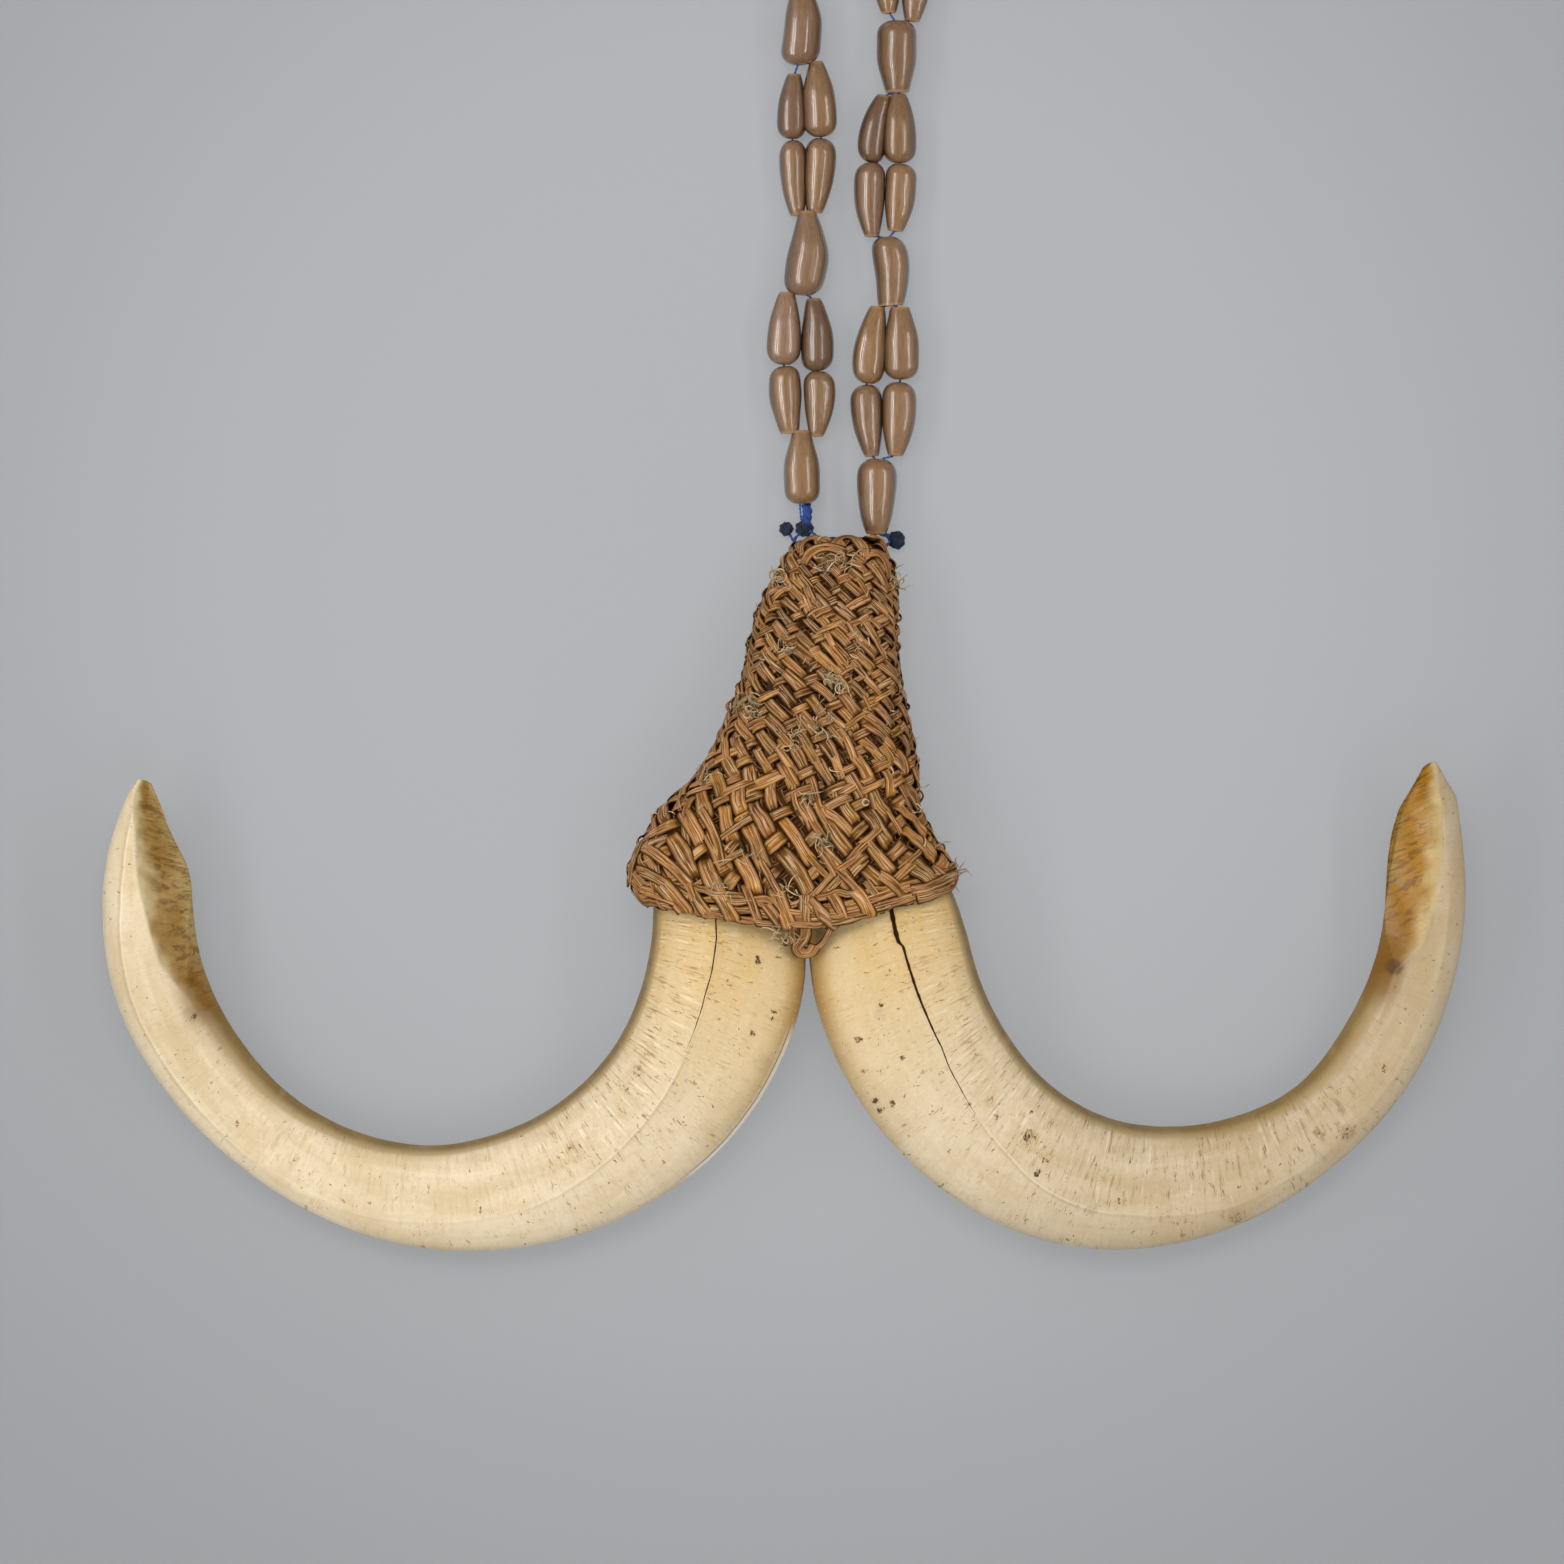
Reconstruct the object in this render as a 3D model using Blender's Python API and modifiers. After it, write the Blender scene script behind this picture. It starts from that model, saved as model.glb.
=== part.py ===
"""Pendant of two full-curve boar tusks in a plaited cane sleeve, on two strands of seeds.

The pendant lies on its back: +X runs across both tusks, +Y from the tusks' arcs to the
seed strands, +Z up from the surface that it lies on. The origin is on that surface, below
the middle of the tusks and the sleeve. The tables are in millimetres.
"""
import math

import bmesh
import bpy
from mathutils import Vector

MM = 0.001
CUT_GAP = 0.35

# Tusks. Each curls round a centre in plan. A station gives the turn round that centre in
# degrees, the radius of the middle line, the width across and the height of the underside.
TUSKS = {
    "tusk_left": {
        "centre": (-57.5, 0.6),
        "side": 1,
        "root_turn": -12.0,
        "tip_turn": 201.1,
        "stations": (
            (-12.0, 48.3, 21.1, 3.9), (-5.0, 48.2, 22.6, 3.6), (0.0, 48.2, 23.0, 3.4),
            (5.0, 48.5, 23.7, 3.2), (10.0, 49.4, 24.9, 2.9), (20.0, 50.3, 25.4, 2.3),
            (40.0, 51.1, 23.7, 1.0), (60.0, 50.7, 20.8, 0.2), (75.0, 50.0, 18.6, 0.0),
            (90.0, 49.2, 16.5, 0.2), (120.0, 46.6, 14.1, 1.3), (140.0, 45.4, 14.4, 2.4),
            (160.0, 45.0, 14.9, 3.8), (180.0, 44.3, 14.2, 5.6), (186.0, 44.6, 12.8, 6.4),
            (190.0, 45.3, 10.6, 7.2), (194.0, 46.2, 8.0, 8.2), (197.8, 47.0, 5.6, 9.2),
            (201.1, 48.0, 0.9, 10.6),
        ),
    },
    "tusk_right": {
        "centre": (62.5, 2.2),
        "side": -1,
        "root_turn": -9.0,
        "tip_turn": 204.4,
        "stations": (
            (-9.0, 48.5, 17.6, 4.6), (-5.0, 48.0, 19.2, 4.2), (0.0, 47.4, 21.1, 3.8),
            (4.0, 47.0, 23.0, 3.4), (12.0, 47.2, 25.3, 2.8), (20.0, 47.7, 26.2, 2.2),
            (40.0, 49.0, 25.6, 0.9), (60.0, 50.2, 23.4, 0.1), (75.0, 50.2, 21.3, 0.0),
            (90.0, 48.9, 18.8, 0.2), (105.0, 47.2, 16.2, 0.8), (120.0, 45.4, 13.9, 1.4),
            (140.0, 42.7, 13.8, 2.5), (160.0, 40.9, 13.1, 3.9), (180.0, 40.0, 12.6, 5.8),
            (190.0, 40.5, 11.5, 7.1), (197.0, 41.8, 9.6, 8.4), (200.0, 42.6, 7.0, 9.2),
            (204.4, 44.5, 0.9, 10.8),
        ),
    },
}

# What changes along a tusk: turn, thickness over width, the share of the width that the
# inner face takes, the share that the wear facet takes, and where the crease runs.
TUSK_FORM = (
    (-14.0, 0.66, 0.05, 0.0, 0.38), (20.0, 0.65, 0.05, 0.0, 0.39), (60.0, 0.65, 0.07, 0.0, 0.56),
    (90.0, 0.67, 0.10, 0.0, 0.73), (130.0, 0.71, 0.24, 0.0, 0.80), (152.0, 0.73, 0.25, 0.0, 0.78),
    (165.0, 0.74, 0.26, 0.40, 0.75), (183.0, 0.75, 0.27, 0.60, 0.73), (205.0, 0.80, 0.30, 1.0, 0.73),
)
SECTION_POWER = 2.4
BACK_DEPTH = 0.9
CREASE_RISE = 0.06
CREASE_SPREAD = 0.2
INNER_FACE_CURVE = 0.8
FACET_SLOPE = 0.85
FACET_FLOOR = -0.45
RING_POINTS = 18
RING_TURN = 6.5
TIP_RING_TURN = 3.5
TIP_FROM = 180.0

# Sleeve: y, left edge, right edge and thickness of each ring from the neck to the mouth.
SLEEVE = (
    (57.1, 3.0, 15.4, 7.5), (56.2, 1.5, 16.2, 9.4), (55.0, 0.6, 16.5, 10.2),
    (52.6, -0.7, 17.6, 11.0), (47.8, -3.3, 18.2, 12.0), (43.0, -4.9, 18.1, 13.0),
    (38.2, -6.0, 18.2, 14.0), (33.4, -7.3, 19.0, 15.0), (28.6, -9.2, 19.7, 16.0),
    (23.8, -11.3, 20.9, 17.0), (19.0, -14.4, 21.4, 18.2), (14.2, -19.4, 21.8, 19.6),
    (9.4, -22.6, 23.9, 21.0), (4.6, -24.6, 26.6, 22.0), (2.0, -24.8, 27.4, 22.3),
    (0.0, -24.7, 27.4, 22.0),
)
SLEEVE_POINTS = 28
SLEEVE_POWER = 2.5
BACK_FLAT = 1.2
MOUTH_FROM = 12.0
# The mouth's edge: x and y of its hem on the front, where a knot of the plait hangs between
# the tusks, and on the back.
HEM_FRONT = (
    (-24.8, 2.0), (-22.4, -1.8), (-13.5, -3.4), (-6.3, -4.5), (0.1, -5.8), (2.6, -8.2),
    (4.9, -9.9), (7.0, -8.2), (9.0, -5.0), (13.7, -3.4), (19.3, -1.8), (24.5, 0.3), (27.4, 1.6),
)
HEM_BACK = ((-24.8, 2.0), (-20.0, -2.2), (-6.0, -4.2), (5.0, -5.0), (15.0, -3.4), (27.4, 1.6))
HEM_FLOOR = (1.3, -2.0, 11.0)

# Seeds, from the sleeve up: x and y of the narrow end, x and y of the wide end, the width,
# and the width of the narrow end. A single seed takes both threads of its strand.
SEEDS_LEFT = (
    ("single", (2.7, 73.8), (2.7, 62.6), 5.8, 2.5),
    ("outer", (0.6, 74.5), (-0.2, 84.4), 5.2, 2.1),
    ("inner", (5.3, 74.5), (5.5, 83.7), 5.0, 2.1),
    ("outer", (0.6, 95.5), (-0.5, 85.0), 5.3, 2.2),
    ("inner", (4.7, 95.4), (5.5, 84.2), 5.1, 2.2),
    ("single", (3.8, 108.7), (3.1, 96.6), 6.8, 2.8),
    ("outer", (1.7, 109.5), (0.8, 120.7), 4.1, 1.9),
    ("inner", (5.0, 109.8), (6.1, 121.1), 4.8, 2.2),
    ("outer", (1.1, 131.5), (0.7, 121.4), 4.0, 1.9),
    ("inner", (5.2, 132.8), (6.1, 121.8), 5.3, 2.2),
    ("single", (2.6, 145.6), (2.6, 133.6), 6.4, 3.0),
)
SEEDS_RIGHT = (
    ("single", (14.7, 58.0), (15.0, 69.4), 6.4, 2.7),
    ("inner", (13.9, 70.2), (12.8, 81.5), 4.9, 2.1),
    ("outer", (18.0, 70.4), (18.8, 81.9), 5.3, 2.1),
    ("inner", (14.8, 94.0), (13.0, 82.2), 5.0, 2.2),
    ("outer", (18.8, 94.0), (19.3, 82.7), 5.4, 2.2),
    ("single", (17.2, 94.8), (16.4, 105.0), 6.1, 2.9),
    ("inner", (13.9, 105.8), (13.3, 117.1), 5.0, 2.2),
    ("outer", (17.8, 106.4), (19.0, 116.9), 4.8, 2.1),
    ("inner", (15.8, 127.8), (13.3, 117.8), 4.0, 1.9),
    ("outer", (18.6, 127.8), (19.0, 117.6), 5.0, 2.3),
    ("single", (18.2, 128.6), (17.9, 139.8), 6.6, 3.0),
    ("inner", (16.8, 141.4), (15.8, 153.6), 5.0, 2.2),
    ("outer", (20.7, 140.6), (22.0, 152.6), 5.0, 2.2),
)
# A seed's outline at shares of its length: how far it has grown from the narrow end's width to
# its full width, and then how much of the full width is left towards the wide end.
SEED_GROWS = ((0.0, 0.0), (0.16, 0.30), (0.40, 0.74), (0.70, 1.0))
SEED_CLOSES = ((0.92, 0.80), (1.0, 0.48))
SEED_SIDES = 8
SINGLE_BORE = 0.75
PAIR_BORE = 0.6

# Threads: 0.4 mm across; those of one strand run side by side through its single seeds.
THREAD = 0.4
THREAD_PITCH = 0.5
# A thread's route has a point this share of a seed's length inside each end of the bore, and
# this many steps along a start, a bore, the way to the next seed, and a stretch of the end.
BORE_INSET = 0.035
START_STEPS, BORE_STEPS, BETWEEN_STEPS, END_STEPS = 2, 1, 5, 4
THREAD_STARTS = {
    "thread_left_outer": ((2.7, 60.0, 1.9), (2.55, 61.4, 2.5)),
    "thread_left_inner": ((3.5, 60.0, 1.9), (3.3, 61.4, 2.5)),
    "thread_right_inner": ((14.35, 57.5, 3.2),),
    "thread_right_outer": ((16.45, 57.5, 1.9), (15.75, 57.5, 2.6)),
}
THREAD_ENDS = {
    "thread_left_outer": ((2.2, 150.0, 2.2), (2.4, 155.0, 0.8), (3.5, 160.2, 0.3),
                          (5.9, 164.7, 0.3), (8.7, 167.1, 0.7)),
    "thread_left_inner": ((2.9, 150.0, 2.2), (3.1, 155.0, 0.8), (4.3, 159.7, 0.3),
                          (6.5, 164.0, 0.3), (8.75, 166.4, 0.7)),
    "thread_right_inner": ((15.7, 157.2, 1.2), (15.1, 160.5, 0.3), (13.8, 164.2, 0.3),
                           (12.3, 166.3, 0.7)),
    "thread_right_outer": ((22.2, 156.2, 1.4), (21.2, 160.5, 0.3), (17.6, 165.2, 0.3),
                           (12.4, 167.3, 0.7)),
}

# Knots: where each lies and its half sizes.
KNOTS = {
    "knot_left_outer": ((0.4, 58.6, 0.95), (0.95, 1.0, 0.95)),
    "knot_left_inner": ((3.1, 58.5, 1.2), (1.45, 1.15, 1.2)),
    "knot_right": ((17.9, 57.0, 1.25), (1.2, 1.5, 1.25)),
    "knot_loop": ((10.5, 167.0, 1.1), (1.35, 1.1, 1.1)),
}

# Colour, roughness and metallic value of each piece's material.
LOOKS = {
    "tusk": ((0.80, 0.72, 0.55), 0.38),
    "cane": ((0.32, 0.18, 0.09), 0.65),
    "seed": ((0.25, 0.15, 0.09), 0.25),
    "thread": ((0.03, 0.10, 0.36), 0.6),
    "knot": ((0.02, 0.04, 0.11), 0.7),
}


def clear_scene():
    for thing in list(bpy.data.objects):
        bpy.data.objects.remove(thing, do_unlink=True)


def new_collection(name):
    group = bpy.data.collections.new(name)
    bpy.context.scene.collection.children.link(group)
    return group


def material(name):
    finish = bpy.data.materials.new(name)
    finish.use_nodes = True
    shader = finish.node_tree.nodes["Principled BSDF"]
    colour, roughness = LOOKS[name]
    shader.inputs["Base Color"].default_value = (*colour, 1.0)
    shader.inputs["Roughness"].default_value = roughness
    shader.inputs["Metallic"].default_value = 0.0
    return finish


def add_object(name, data, group, finish=None):
    piece = bpy.data.objects.new(name, data)
    if finish:
        data.materials.append(finish)
    group.objects.link(piece)
    return piece


def smooth_row(table, x):
    """The values at x, on a smooth curve through the rows of a table whose first column is x."""
    last = len(table) - 1
    x = min(max(x, table[0][0]), table[last][0])
    i = max(k for k in range(last) if table[k][0] <= x)

    def slope(k, column):
        low, high = max(k - 1, 0), min(k + 1, last)
        return (table[high][column] - table[low][column]) / (table[high][0] - table[low][0])

    span = table[i + 1][0] - table[i][0]
    t = (x - table[i][0]) / span
    row = []
    for column in range(1, len(table[0])):
        start, end = table[i][column], table[i + 1][column]
        pull_out, pull_in = slope(i, column) * span, slope(i + 1, column) * span
        row.append((2 * t**3 - 3 * t**2 + 1) * start + (t**3 - 2 * t**2 + t) * pull_out
                   + (3 * t**2 - 2 * t**3) * end + (t**3 - t**2) * pull_in)
    return row


def straight_row(table, x):
    """The values at x, on straight lines between the table's rows."""
    for low, high in zip(table, table[1:]):
        if x <= high[0]:
            t = max(0.0, (x - low[0]) / (high[0] - low[0]))
            return [a + (b - a) * t for a, b in zip(low[1:], high[1:])]
    return list(table[-1][1:])


def smooth_path(points, samples):
    """Points on a smooth curve through the given ones, with samples[i] steps in span i."""
    path = [Vector(point) for point in points]
    last = len(path) - 1
    knots = [0.0]
    for a, b in zip(path, path[1:]):
        knots.append(knots[-1] + max((b - a).length, 1e-6))

    def slope(i):
        low, high = max(i - 1, 0), min(i + 1, last)
        return (path[high] - path[low]) / (knots[high] - knots[low])

    line = [path[0]]
    for i, steps in enumerate(samples):
        span = knots[i + 1] - knots[i]
        out, into = slope(i) * span, slope(i + 1) * span
        for step in range(1, steps + 1):
            t = step / steps
            line.append(path[i] * (2 * t**3 - 3 * t**2 + 1) + out * (t**3 - 2 * t**2 + t)
                        + path[i + 1] * (3 * t**2 - 2 * t**3) + into * (t**3 - t**2))
    return line


def power_dome(s, power=SECTION_POWER):
    return max(0.0, 1.0 - abs(s)**power)**(1.0 / power)


def front_height(s, inner_face, facet, crease):
    """Height of a tusk's front over its middle, for s from -1 (inner edge) to 1 (outer)."""
    ridge_at = 2 * crease - 1
    height = power_dome(s) * (1 + CREASE_RISE * math.exp(-((s - ridge_at) / CREASE_SPREAD)**2))
    shoulder = 2 * inner_face - 1
    if s < shoulder:
        height = min(height, power_dome(shoulder) * ((s + 1) / (shoulder + 1))**INNER_FACE_CURVE)
    worn_to = 2 * facet - 1
    if s < worn_to:
        height = min(height, power_dome(worn_to) - FACET_SLOPE * (worn_to - s))
    return max(height, FACET_FLOOR * power_dome(s))


def tusk_section(turn, width, grow):
    """A closed ring of (outward, upward) offsets from the tusk's middle line."""
    thick, inner_face, facet, crease = straight_row(TUSK_FORM, turn)
    half_width = width / 2 + grow
    half_thick = width * thick / 2 + grow
    ring = []
    for i in range(RING_POINTS):
        angle = math.tau * i / RING_POINTS
        s = math.copysign(abs(math.cos(angle))**(2 / SECTION_POWER), math.cos(angle))
        if math.sin(angle) > 1e-6:
            height = front_height(s, inner_face, facet, crease)
        else:
            height = -BACK_DEPTH * power_dome(s)
        ring.append((half_width * s, half_thick * height))
    return ring


def tusk_ring(tusk, turn, grow=0.0):
    """The ring of points of a tusk at one turn round its centre."""
    radius, width, lift = smooth_row(tusk["stations"], turn)
    thick = straight_row(TUSK_FORM, turn)[0]
    middle_up = lift + BACK_DEPTH * width * thick / 2
    along = math.radians(turn)
    outward = Vector((tusk["side"] * math.cos(along), -math.sin(along), 0.0))
    centre = Vector((*tusk["centre"], 0.0))
    ring = []
    for out, up in tusk_section(turn, width, grow):
        point = centre + outward * (radius + out)
        point.z = middle_up + up
        ring.append(point * MM)
    return ring


def loft(name, rings, group, finish=None, floor=None):
    """A closed body through rings of equal count; the last end is a fan to floor if given."""
    shape = bmesh.new()
    rows = [[shape.verts.new(point) for point in ring] for ring in rings]
    count = len(rows[0])
    for row, following in zip(rows, rows[1:]):
        for i in range(count):
            j = (i + 1) % count
            shape.faces.new((row[i], row[j], following[j], following[i]))
    shape.faces.new(rows[0])
    if floor is None:
        shape.faces.new(rows[-1])
    else:
        middle = shape.verts.new(Vector(floor) * MM)
        for i in range(count):
            shape.faces.new((rows[-1][i], rows[-1][(i + 1) % count], middle))
    bmesh.ops.recalc_face_normals(shape, faces=shape.faces)
    mesh = bpy.data.meshes.new(name)
    shape.to_mesh(mesh)
    shape.free()
    mesh.shade_smooth()
    mesh.set_sharp_from_angle(angle=math.radians(40))
    return add_object(name, mesh, group, finish)


def ring_turns(tusk):
    """Turns of a tusk's rings: even along the arc, closer together towards the tip."""
    long_count = round((TIP_FROM - tusk["root_turn"]) / RING_TURN)
    tip_count = round((tusk["tip_turn"] - TIP_FROM) / TIP_RING_TURN)
    arc = [tusk["root_turn"] + (TIP_FROM - tusk["root_turn"]) * i / long_count
           for i in range(long_count)]
    tip = [TIP_FROM + (tusk["tip_turn"] - TIP_FROM) * i / tip_count for i in range(tip_count + 1)]
    return arc + tip


def make_tusk(name, group, finish):
    tusk = TUSKS[name]
    return loft(name, [tusk_ring(tusk, turn) for turn in ring_turns(tusk)], group, finish)


def make_pocket(name, group):
    """A cutter a little larger than the root of a tusk, from its end to past the sleeve."""
    tusk = TUSKS[name]
    radius = smooth_row(tusk["stations"], tusk["root_turn"])[0]
    end_turn = tusk["root_turn"] - math.degrees(CUT_GAP / radius)
    turns = [end_turn] + [tusk["root_turn"] + 5.0 * i for i in range(1, 8)]
    cutter = loft("pocket_" + name, [tusk_ring(tusk, turn, CUT_GAP) for turn in turns], group)
    cutter.hide_render = True
    cutter.display_type = "WIRE"
    return cutter


def sleeve_ring(level, left, right, thick):
    """A ring of the sleeve, flat at the back, drawn down to the hem near its mouth."""
    half, middle = (right - left) / 2, (right + left) / 2
    depth = (thick + BACK_FLAT) / 2
    to_hem = max(0.0, 1 - level / MOUTH_FROM)
    ring = []
    for i in range(SLEEVE_POINTS):
        angle = math.tau * i / SLEEVE_POINTS
        across = math.copysign(abs(math.cos(angle))**(2 / SLEEVE_POWER), math.cos(angle))
        up = math.copysign(abs(math.sin(angle))**(2 / SLEEVE_POWER), math.sin(angle))
        x = middle + half * across
        z = max(0.0, thick - depth + depth * up)
        front, back = straight_row(HEM_FRONT, x)[0], straight_row(HEM_BACK, x)[0]
        hem = back + (front - back) * min(1.0, max(0.0, 0.5 + up))
        ring.append(Vector((x, level + hem * to_hem, z)) * MM)
    return ring


def make_sleeve(group, cutters, finish):
    rings = [sleeve_ring(*row) for row in SLEEVE]
    sleeve = loft("sleeve", rings, group, finish, floor=HEM_FLOOR)
    for name in TUSKS:
        cut = sleeve.modifiers.new("pocket for " + name, "BOOLEAN")
        cut.operation = "DIFFERENCE"
        cut.solver = "EXACT"
        cut.object = make_pocket(name, cutters)
    return sleeve


def make_seed(name, narrow, wide, width, tip_width, bore, group, finish):
    """A seed lying on its side: a profile turned round the line between its two ends."""
    tip = Vector((*narrow, width / 2)) * MM
    axis = Vector((*wide, width / 2)) * MM - tip
    radii = [(share, (tip_width + (width - tip_width) * grown) / 2) for share, grown in SEED_GROWS]
    radii += [(share, width / 2 * left) for share, left in SEED_CLOSES]
    outline = [(radius * MM, 0.0, axis.length * share) for share, radius in reversed(radii)]
    outline += [(bore * MM, 0.0, 0.0), (bore * MM, 0.0, axis.length)]
    mesh = bpy.data.meshes.new(name)
    edges = [(i, (i + 1) % len(outline)) for i in range(len(outline))]
    mesh.from_pydata(outline, edges, [])
    seed = add_object(name, mesh, group, finish)
    turned = seed.modifiers.new("turned", "SCREW")
    turned.axis = "Z"
    turned.steps = SEED_SIDES
    turned.render_steps = SEED_SIDES
    turned.use_merge_vertices = True
    turned.merge_threshold = 0.00001
    turned.use_smooth_shade = True
    seed.location = tip
    seed.rotation_euler = axis.to_track_quat("Z", "Y").to_euler()
    return seed


def make_strand(side, seeds, group, finish):
    for number, (place, narrow, wide, width, tip_width) in enumerate(seeds, 1):
        bore = SINGLE_BORE if place == "single" else PAIR_BORE
        make_seed(f"seed_{side}_{number:02d}", narrow, wide, width, tip_width, bore, group, finish)


def thread_route(name, seeds):
    """The route of a thread: from its start, through its seeds' bores, to the loop's knot."""
    place = name.rsplit("_", 1)[1]
    leftward = name in ("thread_left_outer", "thread_right_inner")
    aside = Vector((-THREAD_PITCH / 2 if leftward else THREAD_PITCH / 2, 0.0, 0.0))
    points = [Vector(point) for point in THREAD_STARTS[name]]
    samples = [START_STEPS] * len(points)
    for kind, narrow, wide, width, _ in seeds:
        if kind not in ("single", place):
            continue
        ends = [Vector((*narrow, width / 2)), Vector((*wide, width / 2))]
        low, high = sorted(ends, key=lambda end: end.y)
        if kind == "single":
            low, high = low + aside, high + aside
        points += [low.lerp(high, BORE_INSET), low.lerp(high, 1 - BORE_INSET)]
        samples += [BORE_STEPS, BETWEEN_STEPS]
    tail = [Vector(point) for point in THREAD_ENDS[name]]
    samples = samples[:-1] + [END_STEPS] * len(tail)
    return points + tail, samples


def make_thread(name, seeds, group, finish):
    route, samples = thread_route(name, seeds)
    curve = bpy.data.curves.new(name, "CURVE")
    curve.dimensions = "3D"
    curve.bevel_depth = THREAD / 2 * MM
    curve.bevel_resolution = 2
    curve.use_fill_caps = True
    line = smooth_path(route, samples)
    spline = curve.splines.new("POLY")
    spline.points.add(len(line) - 1)
    for knot, point in zip(spline.points, line):
        knot.co = (*(point * MM), 1.0)
    return add_object(name, curve, group, finish)


def make_knot(name, group, finish):
    place, half = KNOTS[name]
    shape = bmesh.new()
    bmesh.ops.create_uvsphere(shape, u_segments=8, v_segments=6, radius=1.0)
    bmesh.ops.scale(shape, vec=Vector(half) * MM, verts=shape.verts)
    mesh = bpy.data.meshes.new(name)
    shape.to_mesh(mesh)
    shape.free()
    mesh.shade_smooth()
    knot = add_object(name, mesh, group, finish)
    knot.location = Vector(place) * MM
    return knot


def main():
    clear_scene()
    parts = new_collection("boar_tusk_pendant")
    cutters = new_collection("cutters")
    finishes = {name: material(name) for name in LOOKS}
    for name in TUSKS:
        make_tusk(name, parts, finishes["tusk"])
    make_sleeve(parts, cutters, finishes["cane"])
    strands = {"left": SEEDS_LEFT, "right": SEEDS_RIGHT}
    for side, seeds in strands.items():
        make_strand(side, seeds, parts, finishes["seed"])
        for place in ("outer", "inner"):
            make_thread(f"thread_{side}_{place}", seeds, parts, finishes["thread"])
    for name in KNOTS:
        make_knot(name, parts, finishes["knot"])


main()
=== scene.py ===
"""Looks of the pendant: two boar tusks in a plaited cane sleeve, on two strands of seeds.

The pendant lies on its back, +Z up. The tables are in millimetres, and those that part.py
holds too are repeated here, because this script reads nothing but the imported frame.
"""
import math
import random

import bmesh
import bpy
import numpy as np
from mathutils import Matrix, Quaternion, Vector
from mathutils.bvhtree import BVHTree


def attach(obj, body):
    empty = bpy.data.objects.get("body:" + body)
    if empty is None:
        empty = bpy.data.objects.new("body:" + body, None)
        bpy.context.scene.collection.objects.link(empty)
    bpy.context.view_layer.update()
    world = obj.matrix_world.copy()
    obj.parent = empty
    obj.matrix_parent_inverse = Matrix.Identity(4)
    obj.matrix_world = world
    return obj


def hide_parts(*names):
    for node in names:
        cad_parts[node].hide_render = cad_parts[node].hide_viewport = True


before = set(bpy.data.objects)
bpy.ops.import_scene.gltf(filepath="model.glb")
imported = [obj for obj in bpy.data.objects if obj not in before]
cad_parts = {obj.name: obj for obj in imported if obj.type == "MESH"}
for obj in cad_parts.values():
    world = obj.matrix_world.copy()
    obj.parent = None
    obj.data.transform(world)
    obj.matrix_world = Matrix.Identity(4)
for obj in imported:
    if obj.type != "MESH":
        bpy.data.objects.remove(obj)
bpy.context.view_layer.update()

SCENE = bpy.context.scene
MM = 0.001

# The two tusks, as in part.py: centre of the curl, side, ends in degrees, and at each turn the
# radius of the middle line, the width across and the height of the underside.
TUSKS = {
    "tusk_left": {
        "centre": (-57.5, 0.6),
        "side": 1,
        "root_turn": -12.0,
        "tip_turn": 201.6,
        "stations": (
            (-12.0, 48.3, 21.1, 3.9), (-5.0, 48.2, 22.6, 3.6), (0.0, 48.2, 23.0, 3.4),
            (5.0, 48.5, 23.7, 3.2), (10.0, 49.4, 24.9, 2.9), (20.0, 50.3, 25.4, 2.3),
            (40.0, 51.1, 23.7, 1.0), (60.0, 50.7, 20.8, 0.2), (75.0, 50.0, 18.6, 0.0),
            (90.0, 49.2, 16.5, 0.2), (120.0, 46.6, 14.1, 1.3), (140.0, 45.4, 14.4, 2.4),
            (160.0, 45.0, 14.9, 3.8), (180.0, 44.3, 14.2, 5.6), (186.0, 44.6, 12.8, 6.4),
            (190.0, 45.3, 10.6, 7.2), (194.0, 46.2, 8.0, 8.2), (197.8, 47.0, 5.6, 9.2),
            (201.6, 48.0, 2.0, 10.6),
        ),
    },
    "tusk_right": {
        "centre": (62.5, 2.2),
        "side": -1,
        "root_turn": -9.0,
        "tip_turn": 204.9,
        "stations": (
            (-9.0, 48.5, 17.6, 4.6), (-5.0, 48.0, 19.2, 4.2), (0.0, 47.4, 21.1, 3.8),
            (4.0, 47.0, 23.0, 3.4), (12.0, 47.2, 25.3, 2.8), (20.0, 47.7, 26.2, 2.2),
            (40.0, 49.0, 25.6, 0.9), (60.0, 50.2, 23.4, 0.1), (75.0, 50.2, 21.3, 0.0),
            (90.0, 48.9, 18.8, 0.2), (105.0, 47.2, 16.2, 0.8), (120.0, 45.4, 13.9, 1.4),
            (140.0, 42.7, 13.8, 2.5), (160.0, 40.9, 13.1, 3.9), (180.0, 40.0, 12.6, 5.8),
            (190.0, 40.5, 11.5, 7.1), (197.0, 41.8, 9.6, 8.4), (200.0, 42.6, 7.0, 9.2),
            (204.9, 44.6, 2.0, 10.8),
        ),
    },
}
# Turn, thickness over width, and the share of the width that the inner face takes.
TUSK_FORM = (
    (-14.0, 0.66, 0.05), (20.0, 0.65, 0.05), (60.0, 0.65, 0.07), (90.0, 0.67, 0.10),
    (130.0, 0.71, 0.24), (152.0, 0.73, 0.25), (165.0, 0.74, 0.26), (183.0, 0.75, 0.27),
    (205.0, 0.80, 0.30),
)
SECTION_POWER = 2.4
BACK_DEPTH = 0.9
CREASE_RISE = 0.06
CREASE_SPREAD = 0.2
INNER_FACE_CURVE = 0.8
FACET_SLOPE = 0.85
FACET_FLOOR = -0.45

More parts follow.
